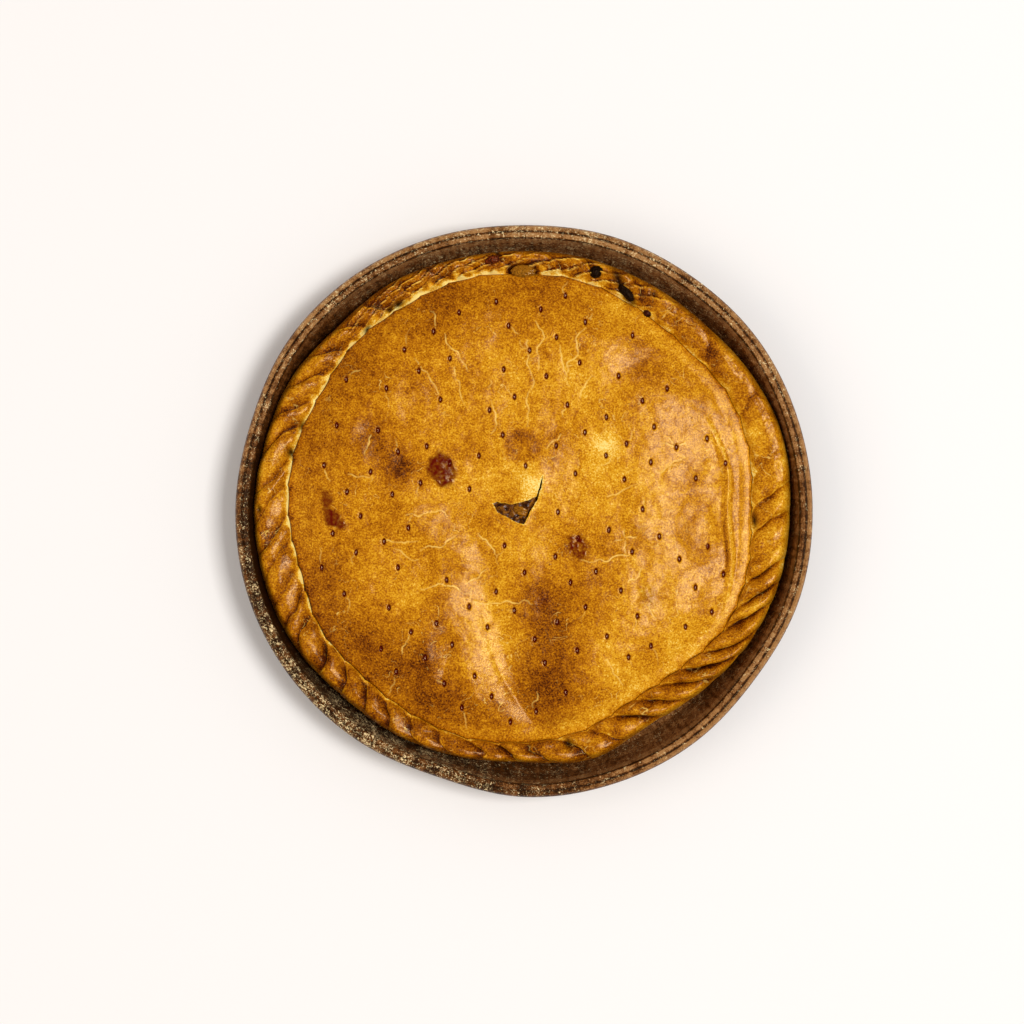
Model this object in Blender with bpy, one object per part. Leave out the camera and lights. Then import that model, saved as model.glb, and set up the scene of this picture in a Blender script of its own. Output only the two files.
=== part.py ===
"""A whole round salt cod and raisin empanada, in the brown paper mould it was baked in.

The bottom dough turns up at its edge into a crimped rope. The lid lies inside the rope: it is domed and
lumpy, pricked all over, and torn open at a small vent in the middle. The filling lies between the two and
shows at the vent, with an onion piece and a raisin, and more raisins show where the rope burst at the back.

Lengths are in millimetres here and become metres as each mesh is made. Angles are in degrees, counter-
clockwise seen from above, from +X. The empanada stands on z = 0, centred on the z axis.
"""
import math
import random
from collections import namedtuple

import bmesh
import bpy
import numpy as np
from mathutils.geometry import delaunay_2d_cdt

MM = 0.001
GAP = 0.3
WALL_CLEARANCE = 0.7

# The mould: its rim's outer edge every 18 degrees, a soft and slightly dented circle
RIM_RADII = (156.1, 156.3, 157.1, 156.3, 156.3, 155.0, 156.3, 157.7, 158.0, 155.8,
             156.6, 156.6, 155.3, 153.6, 151.3, 154.7, 155.3, 155.5, 154.4, 156.3)
RIM_SEGMENTS = 60
MOULD_FLOOR = 1.0
# Its section as (distance in from the rim's outer edge, height), up the outside and down the inside
MOULD_OUTSIDE = ((16.4, 0.0), (14.9, 1.0), (10.1, 11.0), (7.3, 21.0), (6.6, 26.0))
MOULD_RIM = ((5.6, 27.6), (3.2, 27.8), (1.8, 28.3), (1.2, 26.4), (0.2, 26.2), (0.0, 27.8),
             (1.5, 30.0), (3.2, 28.9), (5.0, 29.9), (7.0, 28.7))
MOULD_INSIDE = ((7.6, 26.0), (8.4, 21.0), (11.2, 11.0), (15.8, 1.9), (17.2, MOULD_FLOOR))

# The rope: its outer edge and its inner edge, where the lid starts, every 15 degrees
ROPE_OUTER = (144.7, 146.9, 144.7, 141.8, 141.5, 142.0, 142.0, 142.6, 144.2, 143.1, 146.3, 147.0,
              148.2, 147.2, 145.3, 141.5, 140.4, 138.5, 136.6, 139.9, 135.0, 137.7, 142.0, 144.2)
ROPE_INNER = (124.2, 127.4, 128.5, 125.8, 126.9, 129.6, 130.1, 131.2, 130.1, 130.7, 128.8, 130.1,
              129.1, 126.9, 128.8, 126.4, 126.9, 128.0, 126.4, 124.2, 119.3, 121.2, 126.9, 126.6)
# Angle of the inner end of some creases, and the number of the crimp that starts there
CRIMP_ANGLES = (1.0, 39.0, 61.0, 101.0, 138.0, 159.0, 181.0, 206.0, 233.5, 271.0, 308.0, 336.0, 361.0)
CRIMP_NUMBERS = (0, 5, 7, 11, 16, 19, 22, 26, 30, 35, 40, 44, 48)
CRIMPS = CRIMP_NUMBERS[-1]
CRIMP_STEPS = 4
# How far each crease leans over on its way out, in crimps, every 45 degrees
CRIMP_LEAN = (0.58, 0.40, 0.75, 0.90, 0.50, 0.40, 0.65, 0.85)
CREASE_DEPTH = 3.4
CREASE_PULL = 1.7
LOBE_REACH = 1.0
# The rope's section as (share of the way in, height, depth of the creases from 0 to 1)
ROPE_SECTION = ((0.0, 17.5, 0.25), (0.10, 22.6, 0.8), (0.36, 25.6, 1.0), (0.62, 24.9, 1.0), (0.86, 22.8, 0.8),
                (1.0, 20.3, 0.0))
ROPE_FOOT = 15.0
# Under the rope the side of the crust runs down to the mould's floor: (pulled in by, height)
CRUST_SIDE = ((4.5, MOULD_FLOOR + GAP), (2.4, 3.2), (1.2, 10.0))
# Where the crimps burst in the oven they lie flatter
BURST_ANGLE = 95.0
BURST_HALF_WIDTH = 32.0
BURST_SINK = 2.0

# The ledge inside the rope that carries the lid, and the floor of the crust, measured in from the rope
LEDGE_TOP = 15.7
LEDGE_WIDTH = 7.0
CRUST_FLOOR_TOP = 5.3
CRUST_FLOOR_INSET = 13.0

# The lid
LID_THICKNESS = 3.5
LID_EDGE_TOP = 20.0
LID_RISE = 7.2
LID_SHOULDER = 40.0
LID_CROWN = 1.6
LID_RADIUS = 127.0
LID_GRID = 8.8
UNDERSIDE_GRID = 14.0
FINE_RING = 4.0
UNDERSIDE_RINGS = (LEDGE_WIDTH + 0.4, CRUST_FLOOR_INSET + 0.5)

# Lumps and hollows of the lid: middle, half length, half width, turn of the length, rise
Swell = namedtuple("Swell", "x y long wide turn rise")
SWELLS = (
    Swell(-50, -62, 30, 20, -65, 1.6),    # shoulder left of the folded valley
    Swell(-6, -84, 24, 5.5, -68, -2.6),   # folded valley near the front
    Swell(-22, -35, 26, 9, -62, -1.6),    # the valley fades towards the vent
    Swell(53, -76, 22, 18, 60, 2.0),      # shoulder right of it
    Swell(20, -62, 26, 17, -80, -1.6),    # hollow between
    Swell(66, 30, 32, 24, 80, 1.6),       # broad swell on the right
    Swell(72, -30, 26, 20, 70, 1.3),      # and one below it
    Swell(94, -10, 16, 7, 80, -1.2),      # dip outside them
    Swell(110, -22, 26, 5, 80, 1.6),      # raised fold along the rope
    Swell(40, 84, 22, 18, 20, 1.3),
    Swell(-20, 90, 34, 18, 0, 0.9),
    Swell(-93, 42, 20, 17, 60, 1.4),
    Swell(-86, 84, 18, 14, 40, 1.0),
    Swell(-88, -32, 28, 18, 80, 1.0),
    Swell(3, 15, 8, 5.5, 60, 2.2),        # lifted flap of the vent
    Swell(-1, 35, 10, 8, 0, 0.8),
    Swell(-45, 23, 9, 7, 120, 0.9),       # blister
)

# Outline of the vent: a torn crescent with a slit at its right end
VENT = ((-17.0, 4.3), (-14.6, 4.9), (-7.0, 3.8), (2.2, 5.9), (6.5, 8.1), (9.9, 19.5),
        (9.4, 15.2), (7.2, 6.9), (3.2, 0.0), (-0.2, -7.0), (-4.0, -6.0), (-14.6, -0.5))

# Pricks: a roller's slanting rows of pins, each hole a narrow pit that points to the back
PRICK_START = (-5.2, 4.0)
PRICK_ROW_STEP = (-5.6, -22.5)
PRICK_STEP = (-15.7, -8.4)
PRICK_ROWS = range(-6, 7)
PRICK_COLUMNS = range(-9, 10)
PRICK_STRAY = 3.4
PRICK_MISSED = 0.22
PRICK_MARGIN = 9.0
PRICK_TO_VENT = 7.0
PRICK_HALF = (0.8, 1.6)
PRICK_DEPTH = 2.2
PRICK_SIDES = 6
PRICK_SEED = 11

# Loose pieces that show: half sizes along x, y and z before the turn
Piece = namedtuple("Piece", "name x y z half turn kind")
WRINKLE = 0.10
RAISIN_SEED = 5

MOULD_FINISH = ((0.20, 0.095, 0.038), 0.62)
CRUST_FINISH = ((0.44, 0.165, 0.022), 0.45)
LID_FINISH = ((0.54, 0.215, 0.022), 0.42)
FILLING_FINISH = ((0.30, 0.17, 0.035), 0.35)
PIECE_FINISHES = {"raisin": ((0.035, 0.012, 0.008), 0.35), "onion": ((0.42, 0.26, 0.06), 0.25)}


def smooth_round(values, angle):
    """Value at an angle on the smooth closed curve through evenly spaced values."""
    count = len(values)
    place = (np.asarray(angle, float) / 360.0 * count) % count
    start = np.floor(place).astype(int) % count
    part = place - np.floor(place)
    before, here, after, beyond = (np.take(values, (start + k) % count) for k in (-1, 0, 1, 2))
    slope = after - before
    bend = 2.0 * before - 5.0 * here + 4.0 * after - beyond
    twist = 3.0 * here - before - 3.0 * after + beyond
    return here + 0.5 * part * (slope + part * (bend + part * twist))


def polar(radius, angle, height):
    """Points at these radii, angles and heights, as rows of x, y and z."""
    turn = np.radians(angle)
    return np.stack([radius * np.cos(turn), radius * np.sin(turn), height + 0.0 * turn], axis=-1)


def mould_centre():
    """Middle of the box round the rim, which the whole empanada is moved onto."""
    angles = np.arange(RIM_SEGMENTS) * 360.0 / RIM_SEGMENTS
    rim = polar(smooth_round(RIM_RADII, angles), angles, 0.0)
    return (rim.min(axis=0) + rim.max(axis=0)) / 2.0


CENTRE = mould_centre()


def crimp_angle(number):
    """Angle at the rope's inner edge of a crimp number, whole numbers being creases."""
    turns = np.floor(number / CRIMPS)
    return 360.0 * turns + np.interp(number - CRIMPS * turns, CRIMP_NUMBERS, CRIMP_ANGLES)


def lobe(number):
    """Fullness of the crimp at a crimp number: 0 in a crease, 1 on the lobe, steeper on its near side."""
    part = number - np.floor(number)
    return np.sin(np.pi * part ** 0.8) ** 0.6 * (part > 0.0)


def burst(angle):
    """How much the rope is burst at an angle, from 0 to 1."""
    away = (np.asarray(angle) - BURST_ANGLE + 180.0) % 360.0 - 180.0
    return np.exp(-0.5 * (away / BURST_HALF_WIDTH) ** 2)


def wall_radius(angle, height):
    """Radius of the mould's inner wall at a height."""
    inside = MOULD_INSIDE[::-1]
    inset = np.interp(height, [point[1] for point in inside], [point[0] for point in inside])
    return smooth_round(RIM_RADII, angle) - inset


def lid_height(x, y):
    """Height of the lid's upper side, without its pricks."""
    radius = np.hypot(x, y)
    inset = smooth_round(ROPE_INNER, np.degrees(np.arctan2(y, x))) - radius
    shoulder = np.clip(1.0 - inset / LID_SHOULDER, 0.0, 1.0)
    height = LID_EDGE_TOP + LID_RISE * (1.0 - shoulder ** 2.6) + LID_CROWN * (1.0 - (radius / LID_RADIUS) ** 2)
    near_edge = np.clip(inset / 12.0, 0.0, 1.0)
    for swell in SWELLS:
        turn = math.radians(swell.turn)
        along = (x - swell.x) * math.cos(turn) + (y - swell.y) * math.sin(turn)
        across = (y - swell.y) * math.cos(turn) - (x - swell.x) * math.sin(turn)
        height = height + near_edge * swell.rise * np.exp(
            -0.5 * ((along / swell.long) ** 2 + (across / swell.wide) ** 2))
    return height


def filling_height(x, y):
    """Height of the filling, close under the lid."""
    return lid_height(x, y) - LID_THICKNESS - GAP


def inside_outline(outline, x, y):
    """Whether a point lies inside a closed outline."""
    crossings = False
    for (x0, y0), (x1, y1) in zip(outline, outline[1:] + outline[:1]):
        if (y0 > y) != (y1 > y) and x < x0 + (y - y0) * (x1 - x0) / (y1 - y0):
            crossings = not crossings
    return crossings


def distance_to_outline(outline, x, y):
    """Shortest distance from a point to a closed outline."""
    nearest = math.inf
    for (x0, y0), (x1, y1) in zip(outline, outline[1:] + outline[:1]):
        dx, dy = x1 - x0, y1 - y0
        share = min(max(((x - x0) * dx + (y - y0) * dy) / (dx * dx + dy * dy), 0.0), 1.0)
        nearest = min(nearest, math.hypot(x - x0 - share * dx, y - y0 - share * dy))
    return nearest


def principled(name, finish):
    """A material of one colour and roughness."""
    colour, roughness = finish
    material = bpy.data.materials.new(name)
    material.use_nodes = True
    shader = material.node_tree.nodes["Principled BSDF"]
    shader.inputs["Base Color"].default_value = (*colour, 1.0)
    shader.inputs["Roughness"].default_value = roughness
    material.diffuse_color = (*colour, 1.0)
    return material


def make_object(name, points, faces, finish):
    """One closed solid from points in millimetres, centred, with its faces turned outwards."""
    mesh = bpy.data.meshes.new(name)
    mesh.from_pydata([tuple(row) for row in (np.asarray(points) - CENTRE) * MM], [], faces)
    work = bmesh.new()
    work.from_mesh(mesh)
    bmesh.ops.recalc_face_normals(work, faces=work.faces)
    work.to_mesh(mesh)
    work.free()
    mesh.shade_smooth()
    mesh.set_sharp_from_angle(angle=math.radians(50.0))
    mesh.materials.append(principled(name, finish))
    solid = bpy.data.objects.new(name, mesh)
    bpy.context.scene.collection.objects.link(solid)
    return solid


def ring_solid(name, rings, finish):
    """A solid of rings of equal counts, one after another round its section, closed by a fan at each end."""
    count = len(rings[0])
    points = [row for ring in rings for row in ring]
    faces = []
    for first in range(0, count * (len(rings) - 1), count):
        for k in range(count):
            after = (k + 1) % count
            faces.append((first + k, first + after, first + count + after, first + count + k))
    for first in (0, count * (len(rings) - 1)):
        middle = len(points)
        points.append((0.0, 0.0, points[first][2]))
        faces += [(first + k, first + (k + 1) % count, middle) for k in range(count)]
    return make_object(name, points, faces, finish)


def make_mould():
    """The round paper mould with its doubled bead rim."""
    angles = np.arange(RIM_SEGMENTS) * 360.0 / RIM_SEGMENTS
    rim = smooth_round(RIM_RADII, angles)
    section = MOULD_OUTSIDE + MOULD_RIM + MOULD_INSIDE
    return ring_solid("baking_mould", [polar(rim - inset, angles, height) for inset, height in section],
                      MOULD_FINISH)


def make_bottom_crust():
    """The bottom dough: floor, side, and the crimped rope round its edge with the ledge inside it."""
    numbers = np.arange(CRIMPS * CRIMP_STEPS) / CRIMP_STEPS
    full = lobe(numbers)
    inner_angles = crimp_angle(numbers)
    lean = smooth_round(CRIMP_LEAN, inner_angles)
    outer_angles = crimp_angle(numbers + lean)
    outer = smooth_round(ROPE_OUTER, outer_angles)
    rings = []
    for pull, height in CRUST_SIDE:
        radius = np.minimum(outer - pull, wall_radius(outer_angles, height) - WALL_CLEARANCE)
        rings.append(polar(radius, outer_angles, height))
    for share, height, depth in ROPE_SECTION:
        angles = crimp_angle(numbers + lean * (1.0 - share))
        crease = depth * (1.0 - full) * (1.0 - 0.45 * burst(angles))
        out = smooth_round(ROPE_OUTER, angles)
        radius = out - share * (out - smooth_round(ROPE_INNER, angles)) - CREASE_PULL * (1.0 - share) * crease
        radius -= LOBE_REACH * full * share ** 2
        level = height - CREASE_DEPTH * share ** 0.25 * crease
        level -= BURST_SINK * burst(angles) * (height - ROPE_FOOT) / 10.0 * (share < 1.0)
        rings.append(polar(np.minimum(radius, wall_radius(angles, level) - WALL_CLEARANCE), angles, level))
    edge = lid_edge(numbers)
    smooth_edge = smooth_round(ROPE_INNER, inner_angles)
    rings.append(polar(edge, inner_angles, LEDGE_TOP))
    rings.append(polar(smooth_edge - LEDGE_WIDTH, inner_angles, LEDGE_TOP))
    rings.append(polar(smooth_edge - CRUST_FLOOR_INSET, inner_angles, CRUST_FLOOR_TOP))
    return ring_solid("bottom_crust", rings, CRUST_FINISH)


def lid_edge(numbers):
    """Radius of the rope's inner edge at crimp numbers, with the lobes reaching in over the lid."""
    return smooth_round(ROPE_INNER, crimp_angle(numbers)) - LOBE_REACH * lobe(numbers)


def grid_points(spacing, margin, vent_margin, avoid=(), avoid_radius=0.0):
    """Points of a triangular grid inside the lid, clear of its edge, the vent and the places to avoid."""
    points = []
    rows = int(LID_RADIUS * 1.1 / (spacing * 0.866))
    columns = int(LID_RADIUS * 1.1 / spacing)
    for row in range(-rows, rows + 1):
        for column in range(-columns, columns + 1):
            x = (column + 0.5 * (row % 2)) * spacing
            y = row * spacing * 0.866
            if smooth_round(ROPE_INNER, math.degrees(math.atan2(y, x))) - math.hypot(x, y) < margin:
                continue
            if inside_outline(VENT, x, y) or distance_to_outline(VENT, x, y) < vent_margin:
                continue
            if any(math.hypot(x - px, y - py) < avoid_radius for px, py in avoid):
                continue
            points.append((x, y))
    return points


def prick_places():
    """Middles of the pricks: the roller's rows, with stray and missed pins."""
    draw = random.Random(PRICK_SEED)
    places = []
    for row in PRICK_ROWS:
        for column in PRICK_COLUMNS:
            stray = draw.uniform(0.0, PRICK_STRAY)
            turn = draw.uniform(0.0, math.tau)
            missed = draw.random() < PRICK_MISSED
            x = PRICK_START[0] + row * PRICK_ROW_STEP[0] + column * PRICK_STEP[0] + stray * math.cos(turn)
            y = PRICK_START[1] + row * PRICK_ROW_STEP[1] + column * PRICK_STEP[1] + stray * math.sin(turn)
            inset = smooth_round(ROPE_INNER, math.degrees(math.atan2(y, x))) - math.hypot(x, y)
            if missed or inset < PRICK_MARGIN or inside_outline(VENT, x, y):
                continue
            if distance_to_outline(VENT, x, y) > PRICK_TO_VENT:
                places.append((x, y))
    return places


def triangulate(points, loops, hole=None):
    """Triangles over flat points inside the first loop and outside the hole, with every loop's edges kept."""
    edges = [(loop[k], loop[(k + 1) % len(loop)]) for loop in loops for k in range(len(loop))]
    found, _, faces, origins, _, _ = delaunay_2d_cdt(points, edges, [], 0, 1e-6)
    index = [origin[0] for origin in origins]
    border = [tuple(points[k]) for k in loops[0]]
    triangles = []
    for face in faces:
        x = sum(found[k][0] for k in face) / 3.0
        y = sum(found[k][1] for k in face) / 3.0
        if inside_outline(border, x, y) and not (hole and inside_outline(hole, x, y)):
            triangles.append(tuple(index[k] for k in face))
    return triangles


def ring_inside(inset, count):
    """Flat points of a ring at a distance in from the rope's inner edge."""
    angles = crimp_angle(np.arange(count) * CRIMPS / count)
    return [tuple(row[:2]) for row in polar(smooth_round(ROPE_INNER, angles) - inset, angles, 0.0)]


def underside_points():
    """Flat points shared by the lid's underside and the filling, so that the gap between them is even."""
    rings = [ring_inside(inset, CRIMPS * 2) for inset in UNDERSIDE_RINGS]
    return rings[0], rings[1] + grid_points(UNDERSIDE_GRID, UNDERSIDE_RINGS[1] + 5.0, 4.0) + list(VENT)


def make_lid():
    """The lid: a lumpy upper side with its pricks, a coarse underside, and the vent right through."""
    numbers = np.arange(CRIMPS * CRIMP_STEPS) / CRIMP_STEPS
    border = [tuple(row[:2]) for row in polar(lid_edge(numbers) - GAP, crimp_angle(numbers), 0.0)]
    top = list(border) + list(VENT)
    top_loops = [range(len(border)), range(len(border), len(top))]
    heights = [LID_EDGE_TOP] * len(border) + [lid_height(x, y) for x, y in VENT]
    places = prick_places()
    for x, y in places:
        for side in range(PRICK_SIDES):
            turn = math.tau * side / PRICK_SIDES
            rim_x = x + PRICK_HALF[0] * math.cos(turn)
            rim_y = y + PRICK_HALF[1] * math.sin(turn)
            top.append((rim_x, rim_y))
            heights.append(lid_height(rim_x, rim_y))
        top.append((x, y))
        heights.append(lid_height(x, y) - PRICK_DEPTH)
    plain = ring_inside(FINE_RING, CRIMPS * 2) + grid_points(LID_GRID, FINE_RING + 4.5, 3.0, places, 4.6)
    top += plain
    heights += [lid_height(x, y) for x, y in plain]
    ledge_ring, shared = underside_points()
    under = list(border) + list(VENT) + ledge_ring + shared[:-len(VENT)]
    first = len(border) + len(VENT)
    under_loops = top_loops + [range(first, first + len(ledge_ring))]
    flat = len(ledge_ring)
    low = [LEDGE_TOP + GAP] * len(border) + [lid_height(x, y) - LID_THICKNESS for x, y in VENT]
    low += [LEDGE_TOP + GAP] * flat + [lid_height(x, y) - LID_THICKNESS for x, y in under[first + flat:]]
    points = [(x, y, z) for (x, y), z in zip(top, heights)] + [(x, y, z) for (x, y), z in zip(under, low)]
    faces = triangulate(top, top_loops, VENT)
    faces += [tuple(len(top) + k for k in face) for face in triangulate(under, under_loops, VENT)]
    for loop in top_loops:
        for k, after in zip(loop, list(loop[1:]) + [loop[0]]):
            faces.append((k, after, len(top) + after, len(top) + k))
    return make_object("lid", points, faces, LID_FINISH)


def make_filling():
    """The layer of salt cod, onion and raisins, out to the crust all round and up to the lid."""
    ledge_ring, shared = underside_points()
    vent_middle = [(-9.0, 1.5), (0.0, 1.5)]
    top = ledge_ring + shared + vent_middle
    first_vent = len(ledge_ring) + len(shared) - len(VENT)
    loops = [range(len(ledge_ring)), range(first_vent, first_vent + len(VENT))]
    heights = [LEDGE_TOP] * len(ledge_ring) + [filling_height(x, y) for x, y in top[len(ledge_ring):]]
    points = [(x, y, z) for (x, y), z in zip(top, heights)]
    faces = triangulate(top, loops)
    floor = ring_inside(CRUST_FLOOR_INSET + 0.5, len(ledge_ring))
    start = len(points)
    points += [(x, y, CRUST_FLOOR_TOP + GAP) for x, y in floor] + [(0.0, 0.0, CRUST_FLOOR_TOP + GAP)]
    for k in range(len(floor)):
        after = (k + 1) % len(floor)
        faces.append((k, after, start + after, start + k))
        faces.append((start + k, start + after, len(points) - 1))
    return make_object("filling", points, faces, FILLING_FINISH)


def loose_pieces():
    """Raisins and onion pieces that show, each with its place and the way it lies."""
    return (
        Piece("raisin_burnt", 38.9, 130.1, 22.6, (3.8, 3.4, 2.7), 40, "raisin"),
        Piece("raisin_in_split", 55.2, 118.9, 21.9, (6.2, 2.5, 2.4), -50, "raisin"),
        Piece("raisin_at_lid", 67.0, 107.8, 20.0, (2.6, 2.5, 2.2), 10, "raisin"),
        Piece("raisin_in_rope", -17.3, 136.6, 22.0, (4.3, 2.7, 2.4), 10, "raisin"),
        Piece("onion_in_rope", -0.5, 130.4, 21.2, (7.4, 3.6, 1.5), 0, "onion"),
        Piece("raisin_in_vent", -12.6, 2.6, filling_height(-12.6, 2.6) - 1.9, (3.3, 2.7, 2.1), 20, "raisin"),
        Piece("onion_in_vent", -2.0, 0.2, filling_height(-2.0, 0.2) + 0.1, (4.6, 2.6, 1.2), -25, "onion"),
    )


def make_piece(piece, draw, grow=0.0, name=None):
    """A rounded, wrinkled lump, grown by a gap all round when it is to cut its own pocket."""
    ball = bmesh.new()
    bmesh.ops.create_icosphere(ball, subdivisions=2, radius=1.0)
    turn = math.radians(piece.turn)
    points = []
    for vertex in ball.verts:
        swell = 1.0 + draw.uniform(-WRINKLE, WRINKLE)
        across, along, up = (c * (half * swell + grow) for c, half in zip(vertex.co, piece.half))
        points.append((piece.x + across * math.cos(turn) - along * math.sin(turn),
                       piece.y + across * math.sin(turn) + along * math.cos(turn), piece.z + up))
    faces = [tuple(vertex.index for vertex in face.verts) for face in ball.faces]
    ball.free()
    return make_object(name or piece.name, points, faces, PIECE_FINISHES[piece.kind])


def cut_pocket(host, cutter):
    """Cuts a piece's pocket into what it lies in."""
    pocket = host.modifiers.new(cutter.name, "BOOLEAN")
    pocket.operation = "DIFFERENCE"
    pocket.object = cutter


def set_in_pockets(hosts):
    """Makes the loose pieces, and cuts each host wherever a piece reaches into it."""
    for number, piece in enumerate(loose_pieces()):
        make_piece(piece, random.Random(RAISIN_SEED + number))
        cutter = make_piece(piece, random.Random(RAISIN_SEED + number), GAP + 0.05, piece.name + "_pocket")
        cutter.hide_render = True
        cutter.display_type = "WIRE"
        for host in hosts["vent" if "vent" in piece.name else "edge"]:
            cut_pocket(host, cutter)


def main():
    """Clears the scene and builds the empanada."""
    for old in list(bpy.data.objects):
        bpy.data.objects.remove(old, do_unlink=True)
    make_mould()
    bottom_crust = make_bottom_crust()
    filling = make_filling()
    lid = make_lid()
    set_in_pockets({"edge": (bottom_crust, lid), "vent": (filling,)})


main()
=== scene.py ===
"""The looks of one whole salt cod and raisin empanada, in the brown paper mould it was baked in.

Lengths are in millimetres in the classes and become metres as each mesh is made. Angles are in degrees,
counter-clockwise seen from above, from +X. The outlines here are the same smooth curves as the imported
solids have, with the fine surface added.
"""
import logging
import math
import random
from collections.abc import Sequence
from dataclasses import dataclass, field
from enum import Enum
from typing import Any, ClassVar

import bmesh
import bpy
import numpy as np
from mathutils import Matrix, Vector
from mathutils.geometry import delaunay_2d_cdt
from mathutils.kdtree import KDTree


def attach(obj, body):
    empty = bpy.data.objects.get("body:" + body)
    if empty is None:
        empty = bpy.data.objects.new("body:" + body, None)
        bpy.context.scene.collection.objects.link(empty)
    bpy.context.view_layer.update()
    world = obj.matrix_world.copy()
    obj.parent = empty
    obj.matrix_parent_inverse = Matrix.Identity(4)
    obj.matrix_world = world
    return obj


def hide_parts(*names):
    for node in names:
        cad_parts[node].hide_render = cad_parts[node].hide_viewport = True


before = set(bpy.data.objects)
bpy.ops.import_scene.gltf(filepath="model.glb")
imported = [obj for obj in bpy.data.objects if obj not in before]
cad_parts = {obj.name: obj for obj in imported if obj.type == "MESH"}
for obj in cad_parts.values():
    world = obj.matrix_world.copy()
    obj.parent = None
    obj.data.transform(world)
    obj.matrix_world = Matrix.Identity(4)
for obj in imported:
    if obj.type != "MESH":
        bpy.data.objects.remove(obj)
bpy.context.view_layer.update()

LOG = logging.getLogger("empanada")

MM = 0.001
GAP = 0.3
FULL_TURN = 360.0
Numbers = float | np.ndarray
Masks = dict[str, np.ndarray]


def linear(code: str) -> tuple[float, float, float, float]:
    """Turns an sRGB hex colour into linear light.

    Args:
        code: a hash sign and six hex digits.

    Returns:
        Linear red, green and blue, and an alpha of 1.
    """
    shares = [int(code[k:k + 2], 16) / 255.0 for k in (1, 3, 5)]
    return (*(s / 12.92 if s <= 0.04045 else ((s + 0.055) / 1.055) ** 2.4 for s in shares), 1.0)


def per_metre(size: float) -> float:
    """Gives the texture scale at which a pattern's features are this many millimetres apart."""
    return 1.0 / (size * MM)


def fill_sockets(tree: bpy.types.NodeTree, node: bpy.types.Node, inputs: dict[str | int, Any]) -> None:
    """Fills a node's sockets.

    Args:
        tree: the material's node tree.
        node: the node.
        inputs: a value, or an output to link from, for each named or numbered socket.
    """
    for socket, value in inputs.items():
        if isinstance(value, bpy.types.NodeSocket):
            tree.links.new(value, node.inputs[socket])
        else:
            node.inputs[socket].default_value = value


def add_node(tree: bpy.types.NodeTree, kind: str, inputs: dict[str | int, Any] | None = None,
             stops: Sequence[tuple[float, str]] = (), **settings: Any) -> bpy.types.Node:
    """Adds a node, sets it, and fills its sockets.

    Args:
        tree: the material's node tree.
        kind: Blender's name for the node.
        inputs: a value, or an output to link from, for each named or numbered socket.
        stops: places and hex colours of a colour ramp.
        settings: the node's own settings.

    Returns:
        The new node.
    """
    node = tree.nodes.new(kind)
    for name, value in settings.items():
        setattr(node, name, value)
    fill_sockets(tree, node, inputs or {})
    for number, (place, colour) in enumerate(stops):
        elements = node.color_ramp.elements
        stop = elements[number] if number < 2 else elements.new(place)
        stop.position = place
        stop.color = linear(colour)
    return node


def start_material(name: str) -> tuple[bpy.types.Material, bpy.types.NodeTree, bpy.types.Node,
                                       bpy.types.NodeSocket]:
    """Starts a material.

    Args:
        name: its name, after the real one and how its surface was made.

    Returns:
        The material, its node tree, its shader, and the output that gives places on the piece in metres.
    """
    material = bpy.data.materials.new(name)
    material.use_nodes = True
    tree = material.node_tree
    place = add_node(tree, "ShaderNodeTexCoord").outputs["Object"]
    return material, tree, tree.nodes["Principled BSDF"], place


class Unevenness:
    """Smooth seeded noise, the small accidents of dough, paper and fruit."""

    def __init__(self, seed: int) -> None:
        """Draws the noise's table.

        Args:
            seed: the number that fixes the noise.
        """
        draw = np.random.default_rng(seed)
        self.order = draw.permutation(256)
        slopes = draw.normal(size=(256, 3))
        self.slopes = slopes / np.linalg.norm(slopes, axis=1)[:, None]

    def at(self, x: Numbers, y: Numbers, size: float, z: Numbers = 0.0) -> np.ndarray:
        """Reads the noise.

        Args:
            x: places along the first axis.
            y: places along the second axis.
            size: distance between its lumps, in the units of the places.
            z: places along the third axis.

        Returns:
            Values from about -1 to 1.
        """
        places = np.stack(np.broadcast_arrays(x, y, z), axis=-1).astype(float) / size
        cell = np.floor(places).astype(int)
        part = places - cell
        ease = part * part * part * (part * (part * 6.0 - 15.0) + 10.0)
        total = np.zeros(places.shape[:-1])
        for corner in np.ndindex(2, 2, 2):
            key = (cell + corner) & 255
            pick = self.order[(self.order[(self.order[key[..., 0]] + key[..., 1]) & 255] + key[..., 2]) & 255]
            weight = np.prod(np.where(np.array(corner) == 1, ease, 1.0 - ease), axis=-1)
            total += weight * np.sum(self.slopes[pick] * (part - corner), axis=-1)
        return 1.6 * total

    def layered(self, x: Numbers, y: Numbers, size: float, layers: int, z: Numbers = 0.0) -> np.ndarray:
        """Sums layers of the noise, each half as large and half as strong as the one before.

        Args:
            x: places along the first axis.
            y: places along the second axis.
            size: distance between the lumps of the first layer.
            layers: how many layers.
            z: places along the third axis.

        Returns:
            Values from about -1.5 to 1.5.
        """
        return sum(self.at(np.asarray(x) + 37.0 * k, y, size / 2 ** k, z) / 2 ** k for k in range(layers))


@dataclass(frozen=True)
class Ring:
    """A closed curve round the pie, by its values at evenly spaced angles."""

    values: tuple[float, ...]

    def at(self, angle: Numbers) -> Numbers:
        """Reads the smooth curve at angles.

        Args:
            angle: degrees, any number of turns.

        Returns:
            The curve's values there.
        """
        count = len(self.values)
        place = (np.asarray(angle, float) / FULL_TURN * count) % count
        start = np.floor(place).astype(int) % count
        part = place - np.floor(place)
        before, here, after, beyond = (np.take(self.values, (start + k) % count) for k in (-1, 0, 1, 2))
        bend = 2.0 * before - 5.0 * here + 4.0 * after - beyond
        twist = 3.0 * here - before - 3.0 * after + beyond
        return here + 0.5 * part * (after - before + part * (bend + part * twist))


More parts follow.
